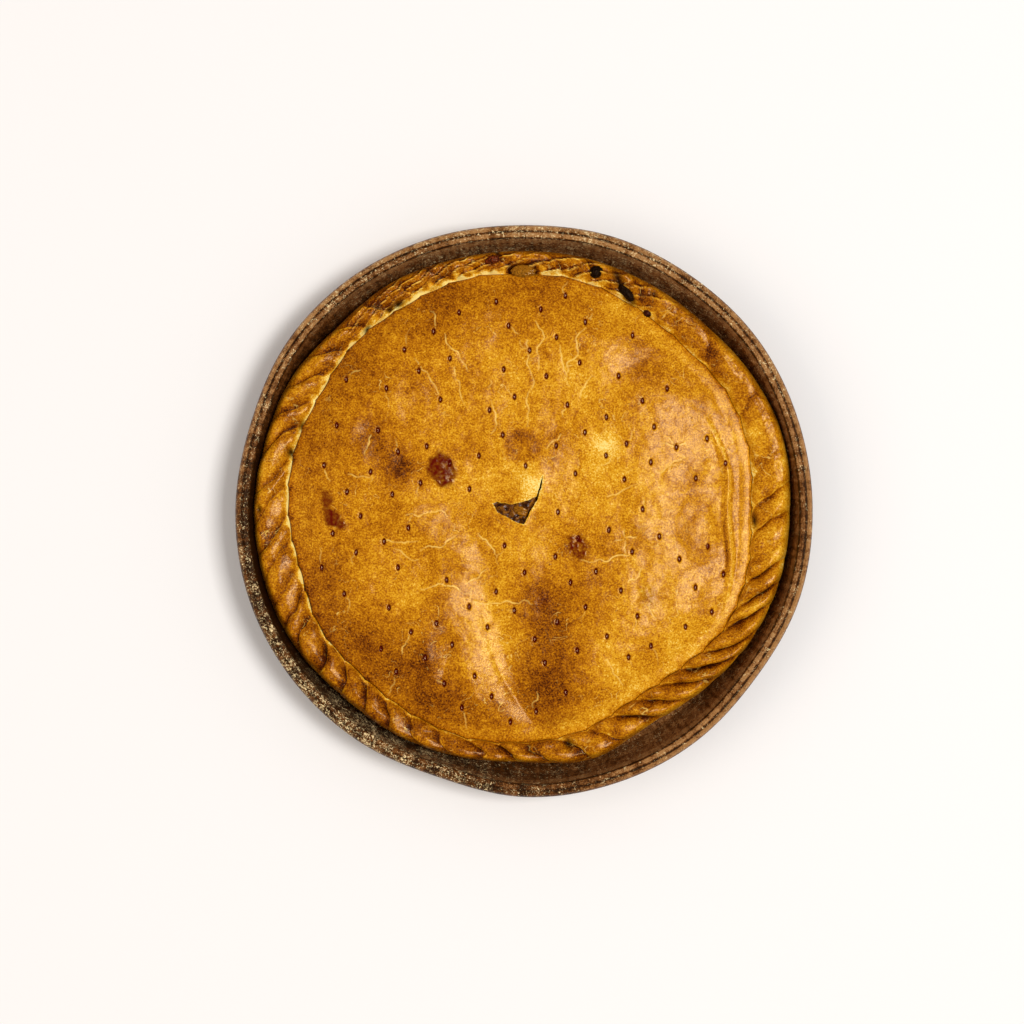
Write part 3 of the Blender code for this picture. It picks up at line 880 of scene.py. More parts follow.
@dataclass
class PaperMould:
    """The shallow paper mould, with its doubled bead rim and its pleats.

    The sections give distance in from the rim's outer edge, and height.
    """

    plan: Plan
    outside: tuple[tuple[float, float], ...] = (
        (16.4, 0.0), (14.9, 1.0), (10.1, 11.0), (7.3, 21.0), (6.6, 26.0))
    rim_section: tuple[tuple[float, float], ...] = (
        (5.6, 27.6), (3.2, 27.8), (1.8, 28.3), (1.2, 26.4), (0.2, 26.2), (0.0, 27.8), (1.5, 30.0),
        (3.2, 28.9), (5.0, 29.9), (7.0, 28.7))
    inside: tuple[tuple[float, float], ...] = (
        (7.6, 26.0), (8.4, 21.0), (11.2, 11.0), (15.8, 1.9), (17.2, 1.0))
    floor_rings: tuple[float, ...] = (19.0, 22.0, 30.0, 60.0, 110.0)
    under_rings: tuple[float, ...] = (110.0, 60.0, 30.0, 20.0)
    floor_top: float = 1.0
    rim_foot: float = 27.0
    wall_inset: float = 7.2
    row_spacing: float = 1.0
    pleat_pitch: float = 8.0
    pleat_half_width: float = 0.45
    pleat_depth: float = 0.35
    pleat_stray: float = 0.32
    filler_pitch: float = 1.3
    keep_inside: float = 0.22
    # Where the two beads lie
    outer_bead: tuple[float, float] = (0.4, 2.9)
    inner_bead: tuple[float, float] = (4.1, 6.6)
    # How much darker the inner wall is, painted shade that is deepest at the left beside the narrow, deep
    # gap, and how light the two beads are rubbed, the inner one darker at the left with the same painted
    # shade, every 30 degrees from +X
    wall_shade: Ring = Ring((0.15, 0.0, -0.1, -0.05, -0.05, 0.2, 0.7, 0.6, 0.35, 0.1, -0.1, 0.0))
    outer_wear: Ring = Ring((0.42, 0.36, 0.26, 0.33, 0.33, 0.32, -0.02, -0.12, -0.1, -0.15, 0.4, 0.45))
    inner_wear: Ring = Ring((0.15, 0.32, 0.36, 0.36, 0.12, 0.24, -0.3, -0.15, -0.05, -0.1, 0.36, 0.25))
    groove_wear: float = -0.28
    plain_wear: float = -0.84
    under_wear: float = -0.74
    floor_wear: float = -0.85
    # Middle and width in degrees of the crushed, the shaded and the rubbed stretch
    crushed: tuple[float, float] = (228.0, 26.0)
    shaded: tuple[float, float] = (182.0, 22.0)
    rubbed: tuple[float, float] = (85.0, 36.0)
    seed: int = 3

    def pleats(self) -> np.ndarray:
        """Draws the angles of the pleat lines.

        Returns:
            Degrees, rising.
        """
        draw = np.random.default_rng(self.seed)
        pitch = math.degrees(self.pleat_pitch / self.plan.rim.values[0])
        count = round(FULL_TURN / pitch)
        stray = draw.uniform(-self.pleat_stray, self.pleat_stray, count)
        return (np.arange(count) + stray) * FULL_TURN / count

    def section(self) -> np.ndarray:
        """Resamples the section evenly, from the underside round to the floor inside.

        Returns:
            Rows of inset and height.
        """
        corners = np.array(self.outside + self.rim_section + self.inside)
        travel = np.concatenate([[0.0], np.cumsum(np.hypot(*np.diff(corners, axis=0).T))])
        steps = np.linspace(0.0, travel[-1], int(travel[-1] / self.row_spacing))
        steps = np.sort(np.unique(np.round(np.concatenate([steps, travel]), 3)))
        return np.stack([np.interp(steps, travel, values) for values in corners.T], -1)

    def around(self) -> tuple[np.ndarray, np.ndarray]:
        """Places the points round the mould, with three at each pleat.

        Returns:
            Degrees, rising, and how deep in a pleat each point lies, from 0 to 1.
        """
        pleats = self.pleats()
        half = math.degrees(self.pleat_half_width / self.plan.rim.values[0])
        count = int(math.tau * self.plan.rim.values[0] / self.filler_pitch)
        filler = np.arange(count) * FULL_TURN / count
        filler = filler[self.from_pleat(filler, pleats) > 1.6 * half]
        angles = np.sort(np.concatenate([filler, pleats, pleats - half, pleats + half]) % FULL_TURN)
        return angles, np.clip(1.0 - self.from_pleat(angles, pleats) / half, 0.0, 1.0)

    @staticmethod
    def from_pleat(angles: np.ndarray, pleats: np.ndarray) -> np.ndarray:
        """Measures how many degrees each angle is from the nearest pleat."""
        return np.abs((angles[:, None] - pleats[None, :] + 180.0) % FULL_TURN - 180.0).min(axis=1)

    def make(self) -> bpy.types.Object:
        """Makes the mould.

        Returns:
            The piece.
        """
        angles, pleat = self.around()
        noise = Unevenness(self.seed)
        rim = self.plan.rim.at(angles)
        spots = polar(30.0, angles, 0.0)
        crushed, shaded, rubbed = (bell(angles, *part) for part in (self.crushed, self.shaded, self.rubbed))
        rings = RingStack(("worn", "flecks"))
        for inset in self.under_rings:
            rings.add(polar(rim - inset, angles, 0.0), worn=self.under_wear)
        for inset, height in self.section():
            on_rim = float(height > self.rim_foot)
            on_wall = float(inset > self.wall_inset)
            crinkle = noise.layered(*(2.2 * spots[:, :2].T), 3.2, 3, height * 0.35 + inset * 0.2)
            push = self.pleat_depth * pleat * (0.4 + 0.6 * on_rim) + 0.16 * crinkle * (1.0 - 0.5 * on_rim)
            radius = rim - max(inset, self.keep_inside)
            if inset < 5.6 and not on_rim:
                radius = radius - push
            if on_wall and height > 1.5:
                radius = radius + 0.8 * push
            drop = on_rim * (0.2 * self.pleat_depth * pleat + 0.07 * np.abs(crinkle))
            if self.outer_bead[0] < inset < self.outer_bead[1]:
                wear = self.outer_wear.at(angles)
            elif self.inner_bead[0] < inset < self.inner_bead[1]:
                wear = self.inner_wear.at(angles)
            else:
                wear = self.groove_wear
            # Painted shade on the inner wall, a little lighter near its top
            shade = (self.wall_shade.at(angles) - 0.22 * (inset < 8.6)) * on_wall * (1.0 - on_rim)
            streak = noise.at(angles * 2.73, 0.12 * height, 2.4)
            worn = self.plain_wear - shade + on_rim * (wear - 0.06 * pleat + 0.14 * crinkle) + 0.26 * streak
            flecks = 0.38 + 0.5 * crushed + 0.3 * rubbed + (0.04 if on_rim else -1.4) * shaded + 0.3 * crinkle
            rings.add(polar(radius, angles, height - drop), worn=worn, flecks=flecks)
        for inset in self.floor_rings:
            level = self.floor_top + 0.1 * noise.at(spots[:, 0], spots[:, 1], 4.0, inset)
            rings.add(polar(rim - inset, angles, level), worn=self.floor_wear, flecks=0.3)
        shell = Shell()
        rings.fill(shell)
        piece = shell.make("paper_mould", GreaseproofPaper().make(), self.plan.middle())
        stand_for(piece, "baking_mould")
        return piece


@dataclass
class LidForm:
    """The lid's surface: its rise from the rope, and its lumps and hollows."""

    plan: Plan
    thickness: float = 3.5
    edge_top: float = 20.0
    rise: float = 7.2
    shoulder: float = 40.0
    crown: float = 1.6
    radius: float = 127.0
    swells: tuple[Patch, ...] = (
        Patch(-50, -62, 30, 20, -65, 1.6),
        Patch(-6, -84, 24, 5.5, -68, -2.6),
        Patch(-22, -35, 26, 9, -62, -1.6),
        Patch(53, -76, 22, 18, 60, 2.0),
        Patch(20, -62, 26, 17, -80, -1.6),
        Patch(66, 30, 32, 24, 80, 1.6),
        Patch(72, -30, 26, 20, 70, 1.3),
        Patch(94, -10, 16, 7, 80, -1.2),
        Patch(110, -22, 26, 5, 80, 1.6),
        Patch(40, 84, 22, 18, 20, 1.3),
        Patch(-20, 90, 34, 18, 0, 0.9),
        Patch(-93, 42, 20, 17, 60, 1.4),
        Patch(-86, 84, 18, 14, 40, 1.0),
        Patch(-88, -32, 28, 18, 80, 1.0),
        Patch(3, 15, 8, 5.5, 60, 2.2),
        Patch(-1, 35, 10, 8, 0, 0.8),
        Patch(-45, 23, 9, 7, 120, 0.9),
    )

    def height(self, x: np.ndarray, y: np.ndarray) -> np.ndarray:
        """Gives the height of the lid's upper side, without its fine surface.

        Args:
            x: places to the right of the middle.
            y: places behind the middle.

        Returns:
            Heights.
        """
        x, y = np.asarray(x, float), np.asarray(y, float)
        inset = self.plan.inset(x, y)
        shoulder = np.clip(1.0 - inset / self.shoulder, 0.0, 1.0)
        height = self.edge_top + self.rise * (1.0 - shoulder ** 2.6)
        height = height + self.crown * (1.0 - (np.hypot(x, y) / self.radius) ** 2)
        near_edge = np.clip(inset / 12.0, 0.0, 1.0)
        return height + near_edge * sum(swell.at(x, y) for swell in self.swells)


@dataclass(frozen=True)
class CrimpRow:
    """The rope's crimps, with one value a point round the pie.

    The fields are the crimp number, the share of the way from one crease to the next, how full the crimp is
    there, how strong and how bowed its crease is, how far its lobe is lifted, and how many crimps it leans.
    """

    numbers: np.ndarray
    part: np.ndarray
    full: np.ndarray
    strength: np.ndarray
    bow: np.ndarray
    lifted: np.ndarray
    lean: np.ndarray


@dataclass
class Rope:
    """The bottom crust: floor, side, and the crimped rope round its edge with the ledge inside it."""

    plan: Plan
    # How many crimps the rope leans by and how strong its creases are, every 30 degrees from +X
    lean: Ring = Ring((0.75, 0.6, 0.5, 0.5, 0.6, 1.2, 1.4, 0.8, 0.6, 0.7, 1.5, 1.5))
    strength: Ring = Ring((0.9, 0.45, 0.45, 0.6, 0.65, 0.7, 0.7, 0.85, 1.0, 1.15, 1.3, 1.15))
    crease_depth: float = 3.9
    crease_pull: float = 1.7
    # How pale the unbaked edge along the lid is, every 30 degrees from +X
    joint_pale: Ring = Ring((0.35, 0.25, 0.5, 0.85, 0.9, 0.7, 0.75, 0.55, 0.4, 0.35, 0.1, 0.15))
    # How browned its top is, how far its inner side stands up over the lid, how far its lobes hang over the
    # lid and how much plumper they are, at the same angles
    browning: Ring = Ring((0.52, 0.64, 0.68, 0.70, 0.72, 0.62, 0.60, 0.70, 0.72, 0.68, 0.64, 0.58))
    inner_rise: Ring = Ring((1.0, 0.4, 0.8, 0.0, 0.0, 0.2, 0.5, 0.5, 0.5, 1.2, 2.0, 1.9))
    overhang: Ring = Ring((1.3, 0.4, 0.0, 0.0, 0.0, 0.2, 0.4, 0.4, 0.4, 1.0, 2.0, 2.2))
    plump: Ring = Ring((0.4, 0.1, 0.0, 0.0, 0.0, 0.1, 0.2, 0.2, 0.2, 0.5, 1.0, 1.1))
    # Where across the rope, from 0 outside to 1 at the lid, the overhang, the rise over the lid and the
    # pinched edge are greatest, each with its width
    overhang_place: tuple[float, float] = (0.88, 0.09)
    rise_place: tuple[float, float] = (0.84, 0.13)
    pinch_place: tuple[float, float] = (0.9, 0.08)
    # The section across the rope: places, heights, and how deep the creases are there
    shares: tuple[float, ...] = (0.0, 0.10, 0.36, 0.62, 0.86, 1.0)
    heights: tuple[float, ...] = (17.5, 22.6, 25.6, 24.9, 22.8, 20.3)
    creases: tuple[float, ...] = (0.25, 0.8, 1.0, 1.0, 0.8, 0.0)
    foot: float = 15.0
    burst_sink: float = 2.0
    notch_depth: float = 2.6
    side: tuple[tuple[float, float], ...] = ((4.5, 1.3), (2.4, 3.2), (1.2, 10.0))
    wall: tuple[tuple[float, float], ...] = ((17.2, 1.0), (15.8, 1.9), (11.2, 11.0), (8.4, 21.0), (7.6, 26.0))
    clearance: float = 0.7
    ledge_top: float = 15.7
    ledge_width: float = 7.0
    floor_top: float = 5.3
    floor_inset: float = 13.0
    columns: int = 26
    rows: int = 34
    flake_pitch: float = 7.6
    # Creases that baked nearly shut, with what is left of each
    faint: tuple[tuple[int, float], ...] = ((46, 0.15), (1, 0.3), (2, 0.15), (4, 0.2), (6, 0.4))
    # Hollows that hold the onion and the raisin
    seats: tuple[Patch, ...] = (
        Patch(-0.8, 130.6, 7.4, 3.6, 0, 1.9, 6.0), Patch(-17.3, 136.6, 4.6, 2.9, 10, 1.2, 6.0))
    seed: int = 7
    # Holes and dark notches along the joint and on the rope, painted nearly black: painted shadow in the
    # pockets, soot in the burnt slits
    notches: tuple[Patch, ...] = (
        Patch(-68.5, 112.5, 2.6, 1.2, 25, 1.0), Patch(-73.5, 109.5, 1.4, 1.0, 30, 0.8),
        Patch(-85.5, 99.0, 1.8, 0.9, 50, 0.9), Patch(-127.0, 32.0, 1.3, 1.8, 0, 1.0),
        Patch(-121.0, 46.5, 1.0, 2.2, -20, 0.8), Patch(24.0, -126.0, 1.6, 2.2, 20, 0.8),
        Patch(-144.0, 1.0, 0.9, 1.6, 10, 0.9), Patch(-15.0, 141.0, 0.9, 1.6, 30, 0.8),
        Patch(51.0, 126.0, 1.5, 4.6, 22, 1.0), Patch(57.0, 116.0, 1.5, 4.0, 35, 1.0),
        Patch(70.5, 118.0, 1.0, 1.1, 0, 0.9), Patch(124.9, -5.0, 0.9, 2.8, 5, 1.0),
    )

    def wall_radius(self, angle: np.ndarray, height: np.ndarray) -> np.ndarray:
        """Gives the radius of the mould's inner wall.

        Args:
            angle: degrees.
            height: heights above the table.

        Returns:
            Radii.
        """
        insets, heights = zip(*self.wall)
        return self.plan.rim.at(angle) - np.interp(height, heights, insets)

    def crimp_row(self) -> CrimpRow:
        """Works out the crimps, each with its own size, bow and lift.

        Returns:
            The crimps.
        """
        plan = self.plan
        draw = np.random.default_rng(self.seed)
        even = np.arange(plan.crimps * self.columns) / self.columns
        part = even - np.floor(even)
        # The points crowd together at the creases
        numbers = np.floor(even) + part - 0.55 * np.sin(math.tau * part) / math.tau
        whole = np.floor(numbers + 1e-9).astype(int) % plan.crimps
        part = numbers - np.floor(numbers)
        strength = draw.uniform(0.55, 1.25, plan.crimps)
        for crimp, share in self.faint:
            strength[crimp] = share
        strength = np.where(part < 0.5, strength[whole], strength[(whole + 1) % plan.crimps])
        bows = np.resize(draw.uniform(-1.0, 1.0, plan.crimps), plan.crimps + 1)
        bow = np.interp(numbers, np.arange(plan.crimps + 1), bows)
        lift = draw.uniform(-0.7, 0.5, plan.crimps)[whole]
        angles = plan.crimp_angle(numbers)
        lifted = (lift + self.plump.at(angles)) * np.sin(np.pi * part)
        full = np.sin(np.pi * part ** 0.72) ** 0.85
        return CrimpRow(numbers, part, full, strength, bow, lifted, self.lean.at(angles))

    def add_side(self, row: CrimpRow, noise: Unevenness, rings: RingStack) -> None:
        """Adds the side, from the floor up to the rope's foot.

        Args:
            row: the crimps.
            noise: what makes the browning uneven.
            rings: where the rings go.
        """
        angles = self.plan.crimp_angle(row.numbers + row.lean)
        pulls, levels = zip(*self.side)
        for height in np.linspace(levels[0], levels[-1], 9):
            reach = self.plan.rope_outer.at(angles) - np.interp(height, levels, pulls)
            reach = reach - 0.5 * (1.0 - row.full) * height / levels[-1]
            reach = np.minimum(reach, self.wall_radius(angles, height) - self.clearance)
            bake = 0.55 + 0.2 * noise.at(reach * np.cos(np.radians(angles)), reach, 9.0)
            rings.add(polar(reach, angles, height), bake=bake)

    def add_crown_ring(self, share: float, row: CrimpRow, noise: Unevenness, rings: RingStack) -> None:
        """Adds one ring of the rope's top.

        Args:
            share: how far in it lies, from 0 at the rope's foot to 1 at the lid.
            row: the crimps.
            noise: what makes them uneven.
            rings: where the ring goes.
        """
        plan, full = self.plan, row.full
        height, depth = (float(smooth_through(np.array(share), self.shares, values))
                         for values in (self.heights, self.creases))
        middle = math.sin(math.pi * share)
        wander = 0.16 * noise.at(row.numbers * 0.9, share * 1.7, 0.7) + 0.22 * row.bow
        angles = plan.crimp_angle(row.numbers + row.lean * (1.0 - share) + wander * middle)
        burst = plan.burst(angles)
        strength = self.strength.at(angles) * row.strength
        crease = depth * (1.0 - full) * (1.0 - 0.45 * burst) * strength
        out = plan.rope_outer.at(angles)
        radius = out - share * (out - plan.rope_inner.at(angles)) - self.crease_pull * (1.0 - share) * crease
        radius = radius - plan.lobe_reach * full * share ** 2
        radius = radius - self.overhang.at(angles) * full * hump(share, *self.overhang_place)
        x, y = radius * np.cos(np.radians(angles)), radius * np.sin(np.radians(angles))
        level = height - self.crease_depth * share ** 0.25 * crease + row.lifted * depth * middle
        level = level + self.inner_rise.at(angles) * hump(share, *self.rise_place)
        level = level - self.burst_sink * burst * (height - self.foot) / 10.0
        # The burst stretch is layered: steps run along the rope, each with a thin pale edge
        turned = 0.85 * radius + 0.48 * radius * np.radians(angles) + 4.4 * noise.layered(x, y, 17.0, 3)
        layer = (turned / self.flake_pitch) % 1.0
        flaky = np.clip((burst - 0.28) * 2.2, 0.0, 1.0)
        level = level + flaky * depth * 2.6 * (layer ** 2 - 0.5)
        level = level + depth * (0.38 * noise.layered(x, y, 7.0, 3) + 0.2 * noise.at(x, y, 1.7))
        pinch = hump(share, *self.pinch_place) * np.clip(self.joint_pale.at(angles), 0.0, 1.0)
        level = level + 1.3 * pinch * noise.layered(x, y, 5.0, 2, 50.0)
        # The notches sink, and are painted nearly black: painted shadow in the pockets, soot in the burnt
        # slits
        pit = np.clip(sum(notch.at(x, y) for notch in self.notches), 0.0, 1.0)
        level = level - self.notch_depth * pit - sum(seat.at(x, y) for seat in self.seats)
        # Painted shade in the creases and in the dark line under each step of the burst layers, browned round
        # the seats, paler on the lips, the torn edges and along the lid
        seated = [seat.at(x, y) / seat.amount for seat in self.seats]
        brink = sum(4.0 * inside_it * (1.0 - inside_it) for inside_it in seated)
        lip = np.exp(-0.5 * ((row.part - 0.05) / 0.03) ** 2) * strength * depth
        deep = np.exp(-0.5 * (row.part / 0.02) ** 2) + np.exp(-0.5 * ((1.0 - row.part) / 0.12) ** 2)
        torn = flaky * depth * np.clip(0.75 + 1.1 * noise.at(x, y, 6.0, 12.0), 0.1, 1.3)
        edge = np.exp(-0.5 * ((layer - 0.93) / 0.06) ** 2) * torn
        fold = np.exp(-0.5 * ((layer - 0.08) / 0.09) ** 2) * torn
        bake = self.browning.at(angles) - 0.08 + 0.06 * share - 0.08 * math.exp(-share / 0.12)
        bake = bake + strength * depth * (0.34 * (1.0 - full) ** 1.4 + 0.12 * deep) + 0.42 * fold
        bake = bake + 0.16 * noise.layered(x, y, 12.0, 2) + 0.28 * brink
        bake = bake - 0.45 * lip * np.clip(0.6 + noise.at(x, y, 6.0), 0.0, 1.0) - 0.50 * edge
        pale = self.joint_pale.at(angles) * np.clip(0.9 + 0.9 * noise.at(x, y, 9.0), 0.3, 1.2)
        width = (0.09 + 0.14 * burst) * np.clip(0.85 + 1.1 * noise.at(x, y, 5.0, 30.0), 0.3, 1.6)
        bake = bake - pale * (1.0 - brink) * np.exp(-(((1.0 - share) / width) ** 2))
        kept = np.minimum(radius, self.wall_radius(angles, level) - self.clearance)
        rings.add(polar(kept, angles, level), bake=bake, soot=pit,
                  split=np.clip(0.8 * edge * (0.3 + noise.at(x, y, 5.0)), 0.0, 0.8),
                  crackle=depth * np.clip(0.35 + noise.at(x, y, 18.0), 0.0, 0.8),
                  burnt=0.9 * fold * np.clip(noise.at(x, y, 9.0) + 0.2, 0.0, 1.0))

    def add_ledge(self, row: CrimpRow, rings: RingStack) -> None:
        """Adds the rope's inner face, the ledge that carries the lid, and the floor under the filling.

        Args:
            row: the crimps.
            rings: where the rings go.
        """
        angles = self.plan.crimp_angle(row.numbers)
        edge, smooth = self.plan.lid_edge(row.numbers), self.plan.rope_inner.at(angles)
        for height in (19.0, 17.5, self.ledge_top + 0.4):
            rings.add(polar(edge, angles, height), bake=0.2)
        for inset, height in ((self.ledge_width, self.ledge_top), (self.floor_inset, self.floor_top)):
            rings.add(polar(smooth - inset, angles, height), bake=0.1)

    def make(self) -> bpy.types.Object:
        """Makes the bottom crust with its rope.

        Returns:
            The piece.
        """
        row = self.crimp_row()
        noise = Unevenness(self.seed)
        rings = RingStack(BakedDough.masks)
        self.add_side(row, noise, rings)
        for share in 0.5 - 0.5 * np.cos(np.pi * np.linspace(0.02, 0.995, self.rows)):
            self.add_crown_ring(share, row, noise, rings)
        self.add_ledge(row, rings)
        shell = Shell()
        rings.fill(shell)
        finish = BakedDough("baked_dough_rope", shine=0.46)
        piece = shell.make("rope_crust", finish.make(), self.plan.middle())
        stand_for(piece, "bottom_crust")
        return piece


@dataclass
class PrickRoller:
    """The roller's slanting rows of pins, with stray and missed ones."""

    plan: Plan
    vent: np.ndarray
    start: tuple[float, float] = (-5.2, 4.0)
    row_step: tuple[float, float] = (-5.6, -22.5)
    step: tuple[float, float] = (-15.7, -8.4)
    rows: range = range(-6, 7)
    columns: range = range(-9, 10)
    stray: float = 3.4
    missed: float = 0.22
    margin: float = 9.0
    to_vent: float = 7.0
    seed: int = 11

    def places(self) -> list[tuple[float, float]]:
        """Works out the middles of the pricks.

        Returns:
            Pairs of x and y.
        """
        draw = random.Random(self.seed)
        found = []
        for row in self.rows:
            for column in self.columns:
                stray = draw.uniform(0.0, self.stray)
                turn = draw.uniform(0.0, math.tau)
                missed = draw.random() < self.missed
                x = self.start[0] + row * self.row_step[0] + column * self.step[0] + stray * math.cos(turn)
                y = self.start[1] + row * self.row_step[1] + column * self.step[1] + stray * math.sin(turn)
                if missed or self.plan.inset(np.array(x), np.array(y)) < self.margin:
                    continue
                in_vent = inside(self.vent, np.array([x]), np.array([y]))[0]
                if not in_vent and near(self.vent, x, y) > self.to_vent:
                    found.append((x, y))
        return found


def inside(outline: np.ndarray, x: np.ndarray, y: np.ndarray) -> np.ndarray:
    """Tests which places lie inside a closed outline.

    Args:
        outline: rows of x and y.
        x: places to the right of the middle.
        y: places behind the middle.

    Returns:
        True or False for each place.
    """
    crossings = np.zeros(len(x), bool)
    for (x0, y0), (x1, y1) in zip(outline, np.roll(outline, -1, axis=0)):
        rise = y1 - y0 if y1 != y0 else 1e-12
        crossings ^= ((y0 > y) != (y1 > y)) & (x < x0 + (y - y0) * (x1 - x0) / rise)
    return crossings


def near(outline: np.ndarray, x: Numbers, y: Numbers) -> np.ndarray:
    """Measures the distance from places to a closed outline.

    Args:
        outline: rows of x and y.
        x: places to the right of the middle.
        y: places behind the middle.

    Returns:
        Distances.
    """
    nearest = np.full(np.shape(x), np.inf)
    for (x0, y0), (x1, y1) in zip(outline, np.roll(outline, -1, axis=0)):
        dx, dy = x1 - x0, y1 - y0
        share = np.clip(((x - x0) * dx + (y - y0) * dy) / (dx * dx + dy * dy), 0.0, 1.0)
        nearest = np.minimum(nearest, np.hypot(x - x0 - share * dx, y - y0 - share * dy))
    return nearest


@dataclass(frozen=True)
class Split:
    """A thin pale split in the egg-washed skin: where it starts, its heading in degrees, and its length."""

    x: float
    y: float
    heading: float
    length: float

    def path(self, noise: Unevenness, step: float) -> np.ndarray:
        """Walks the split over the lid.

        Args:
            noise: what makes it wander.
            step: distance between its points.

        Returns:
            Rows of x and y.
        """
        x, y = self.x, self.y
        points = []
        for _ in range(int(self.length / step)):
            points.append((x, y))
            wander = 75.0 * float(noise.at(x, y, 5.0)) + 40.0 * float(noise.at(x, y, 1.6))
            turn = math.radians(self.heading + wander)
            x += step * math.cos(turn)
            y += step * math.sin(turn)
        return np.array(points)


@dataclass
class Lid:
    """The domed, lumpy lid: its pricks, splits and blisters, and the torn vent right through it."""

    plan: Plan
    form: LidForm
    # Lumps and folds finer than the form's own
    relief: tuple[Patch, ...] = (
        Patch(60, 14, 36, 10, 82, 0.4),        # long crest on the right
        Patch(90, 6, 52, 14, 85, -2.2),        # slope beside it
        Patch(107, 0, 44, 10, 88, -2.4),       # flat band along the rope
        Patch(110, -22, 26, 5, 80, -1.4),
        Patch(101, 22, 6, 4.5, 70, -0.9),
        Patch(95, -12, 13, 6, 80, -1.3),       # dull lens
        Patch(89, -40, 16, 8, 80, 1.2),
        Patch(82, 20, 9, 7, 60, 0.8),
        Patch(78, 4, 6, 8, 0, 0.7),
        Patch(30, -76, 26, 14, 80, 2.1),       # crest of the bulge at the front
        Patch(72, -82, 14, 10, 20, -1.2),
        Patch(64, -62, 10, 8, 60, 0.8),
        Patch(36, 92, 14, 10, -30, 1.8),
        Patch(58, 78, 8, 14, -30, -1.1),
        Patch(64, 58, 16, 11, 0, 1.4),
        Patch(-83, 47, 9, 6.5, 50, -1.3),        # dull hollow at the upper left
        Patch(-72, 58, 8, 7, 50, 0.7),
        Patch(-96, 44, 9, 12, 20, 1.0),
        Patch(-61, -4, 12, 8, -50, 1.6),
        Patch(-44, -17, 10, 6.5, -60, 1.3),
        Patch(-30, -24, 8, 5.5, -60, 1.2),
        Patch(-52, -78, 4.5, 12, 10, 1.2),
        Patch(-47, -54, 12, 8, 60, 1.2),
        Patch(-88, 86, 12, 12, 30, 0.8),
        Patch(-38, 108, 30, 8, 15, 0.5),
        Patch(8, -47, 9, 8, 0, -0.8),
        Patch(-14, 38, 10, 8, 0, 0.7),
    )
    folds: tuple[Fold, ...] = (
        Fold(((-26, 0, 0.2), (-24, -26, 0.5), (-22, -52, 0.8), (-19, -70, 1.4), (-15.7, -81.5, 2.6),
              (-9.7, -94, 3.1), (-2.2, -105.8, 3.1), (5.9, -115.6, 2.4), (10, -121, 0.8)), 20.0, 18.0),
        Fold(((-41, -66, 0.3), (-41, -72, 1.6), (-42, -81, 2.0), (-45, -92, 0.9), (-46, -98, 0.2)),
             6.0, 12.0),
        Fold(((98, 52, -0.1), (100.4, 46.4, -0.7), (106.9, 32.9, -1.3), (110.7, 19.4, -1.5),
              (110.2, 3.2, -1.5), (110.7, -10.3, -1.8), (112.3, -23.8, -1.8), (111.8, -34.6, -1.4),
              (108.5, -54.5, -0.3)), 2.6, 3.4),
    )
    settle: float = 0.7
    # How far the underside sags, and how far from the pie's middle that starts
    slack: float = 2.4
    slack_start: float = 24.0
    ledge_top: float = 15.7
    ledge_width: float = 7.0
    highest: float = 30.6
    grid: float = 0.92
    under_grid: float = 14.0
    border_steps: int = 24
    vent: tuple[tuple[float, float], ...] = (
        (-17.0, 4.3), (-14.6, 4.9), (-7.0, 3.8), (2.2, 5.9), (6.5, 8.1), (9.9, 19.5), (9.4, 15.2),
        (7.2, 6.9), (3.2, 0.0), (-0.2, -7.0), (-4.0, -6.0), (-14.6, -0.5))
    # Only points this near the middle are tested against the vent
    vent_reach: float = 40.0
    prick_half: tuple[float, float] = (1.25, 2.2)
    prick_depth: float = 1.15
    # The wet floor of a prick falls by this much for each mm to the right, and so catches the light
    prick_tilt: float = 0.17
    prick_rings: tuple[float, ...] = (0.0, 0.28, 0.55, 0.8, 1.0, 1.4)
    prick_sides: int = 12
    split_step: float = 0.6
    split_half_width: float = 0.6
    split_depth: float = 0.18
    seed: int = 23
    splits: tuple[Split, ...] = (
        Split(1.5, 92, -92, 30), Split(19, 90, -85, 24), Split(-43, 96, -75, 26), Split(-38, 78, -80, 24),
        Split(-18, 60, -95, 20), Split(3, 66, -100, 22), Split(88, 36, 160, 16), Split(86, 30, -120, 14),
        Split(-64, -2, -10, 26), Split(-70, -20, -20, 16), Split(-25, -12, -60, 18), Split(45, 8, 20, 20),
        Split(30, 62, 60, 14), Split(-30, -38, 40, 12), Split(60, -14, 200, 14), Split(56, -38, 60, 12),
        Split(-95, 20, 15, 14), Split(12, 34, 60, 12), Split(-50.8, 108.5, -75, 12), Split(-56, 78, -60, 22),
        Split(33, 99, -128, 34), Split(6, 103, -85, 30), Split(-78, -16, -15, 22), Split(-56, -21, 25, 24),
        Split(-56, -42, 0, 30), Split(-29, -49, 0, 36), Split(-62, -67, -115, 12), Split(-83, 41, -110, 12),
        Split(36, 40, -20, 20), Split(41, 30, 60, 14), Split(52, 36, -150, 22), Split(54, -10, -90, 14),
        Split(30, -26, 20, 30), Split(68, -48, -60, 12), Split(44, -80, -50, 18), Split(71, 22, -10, 16),
    )
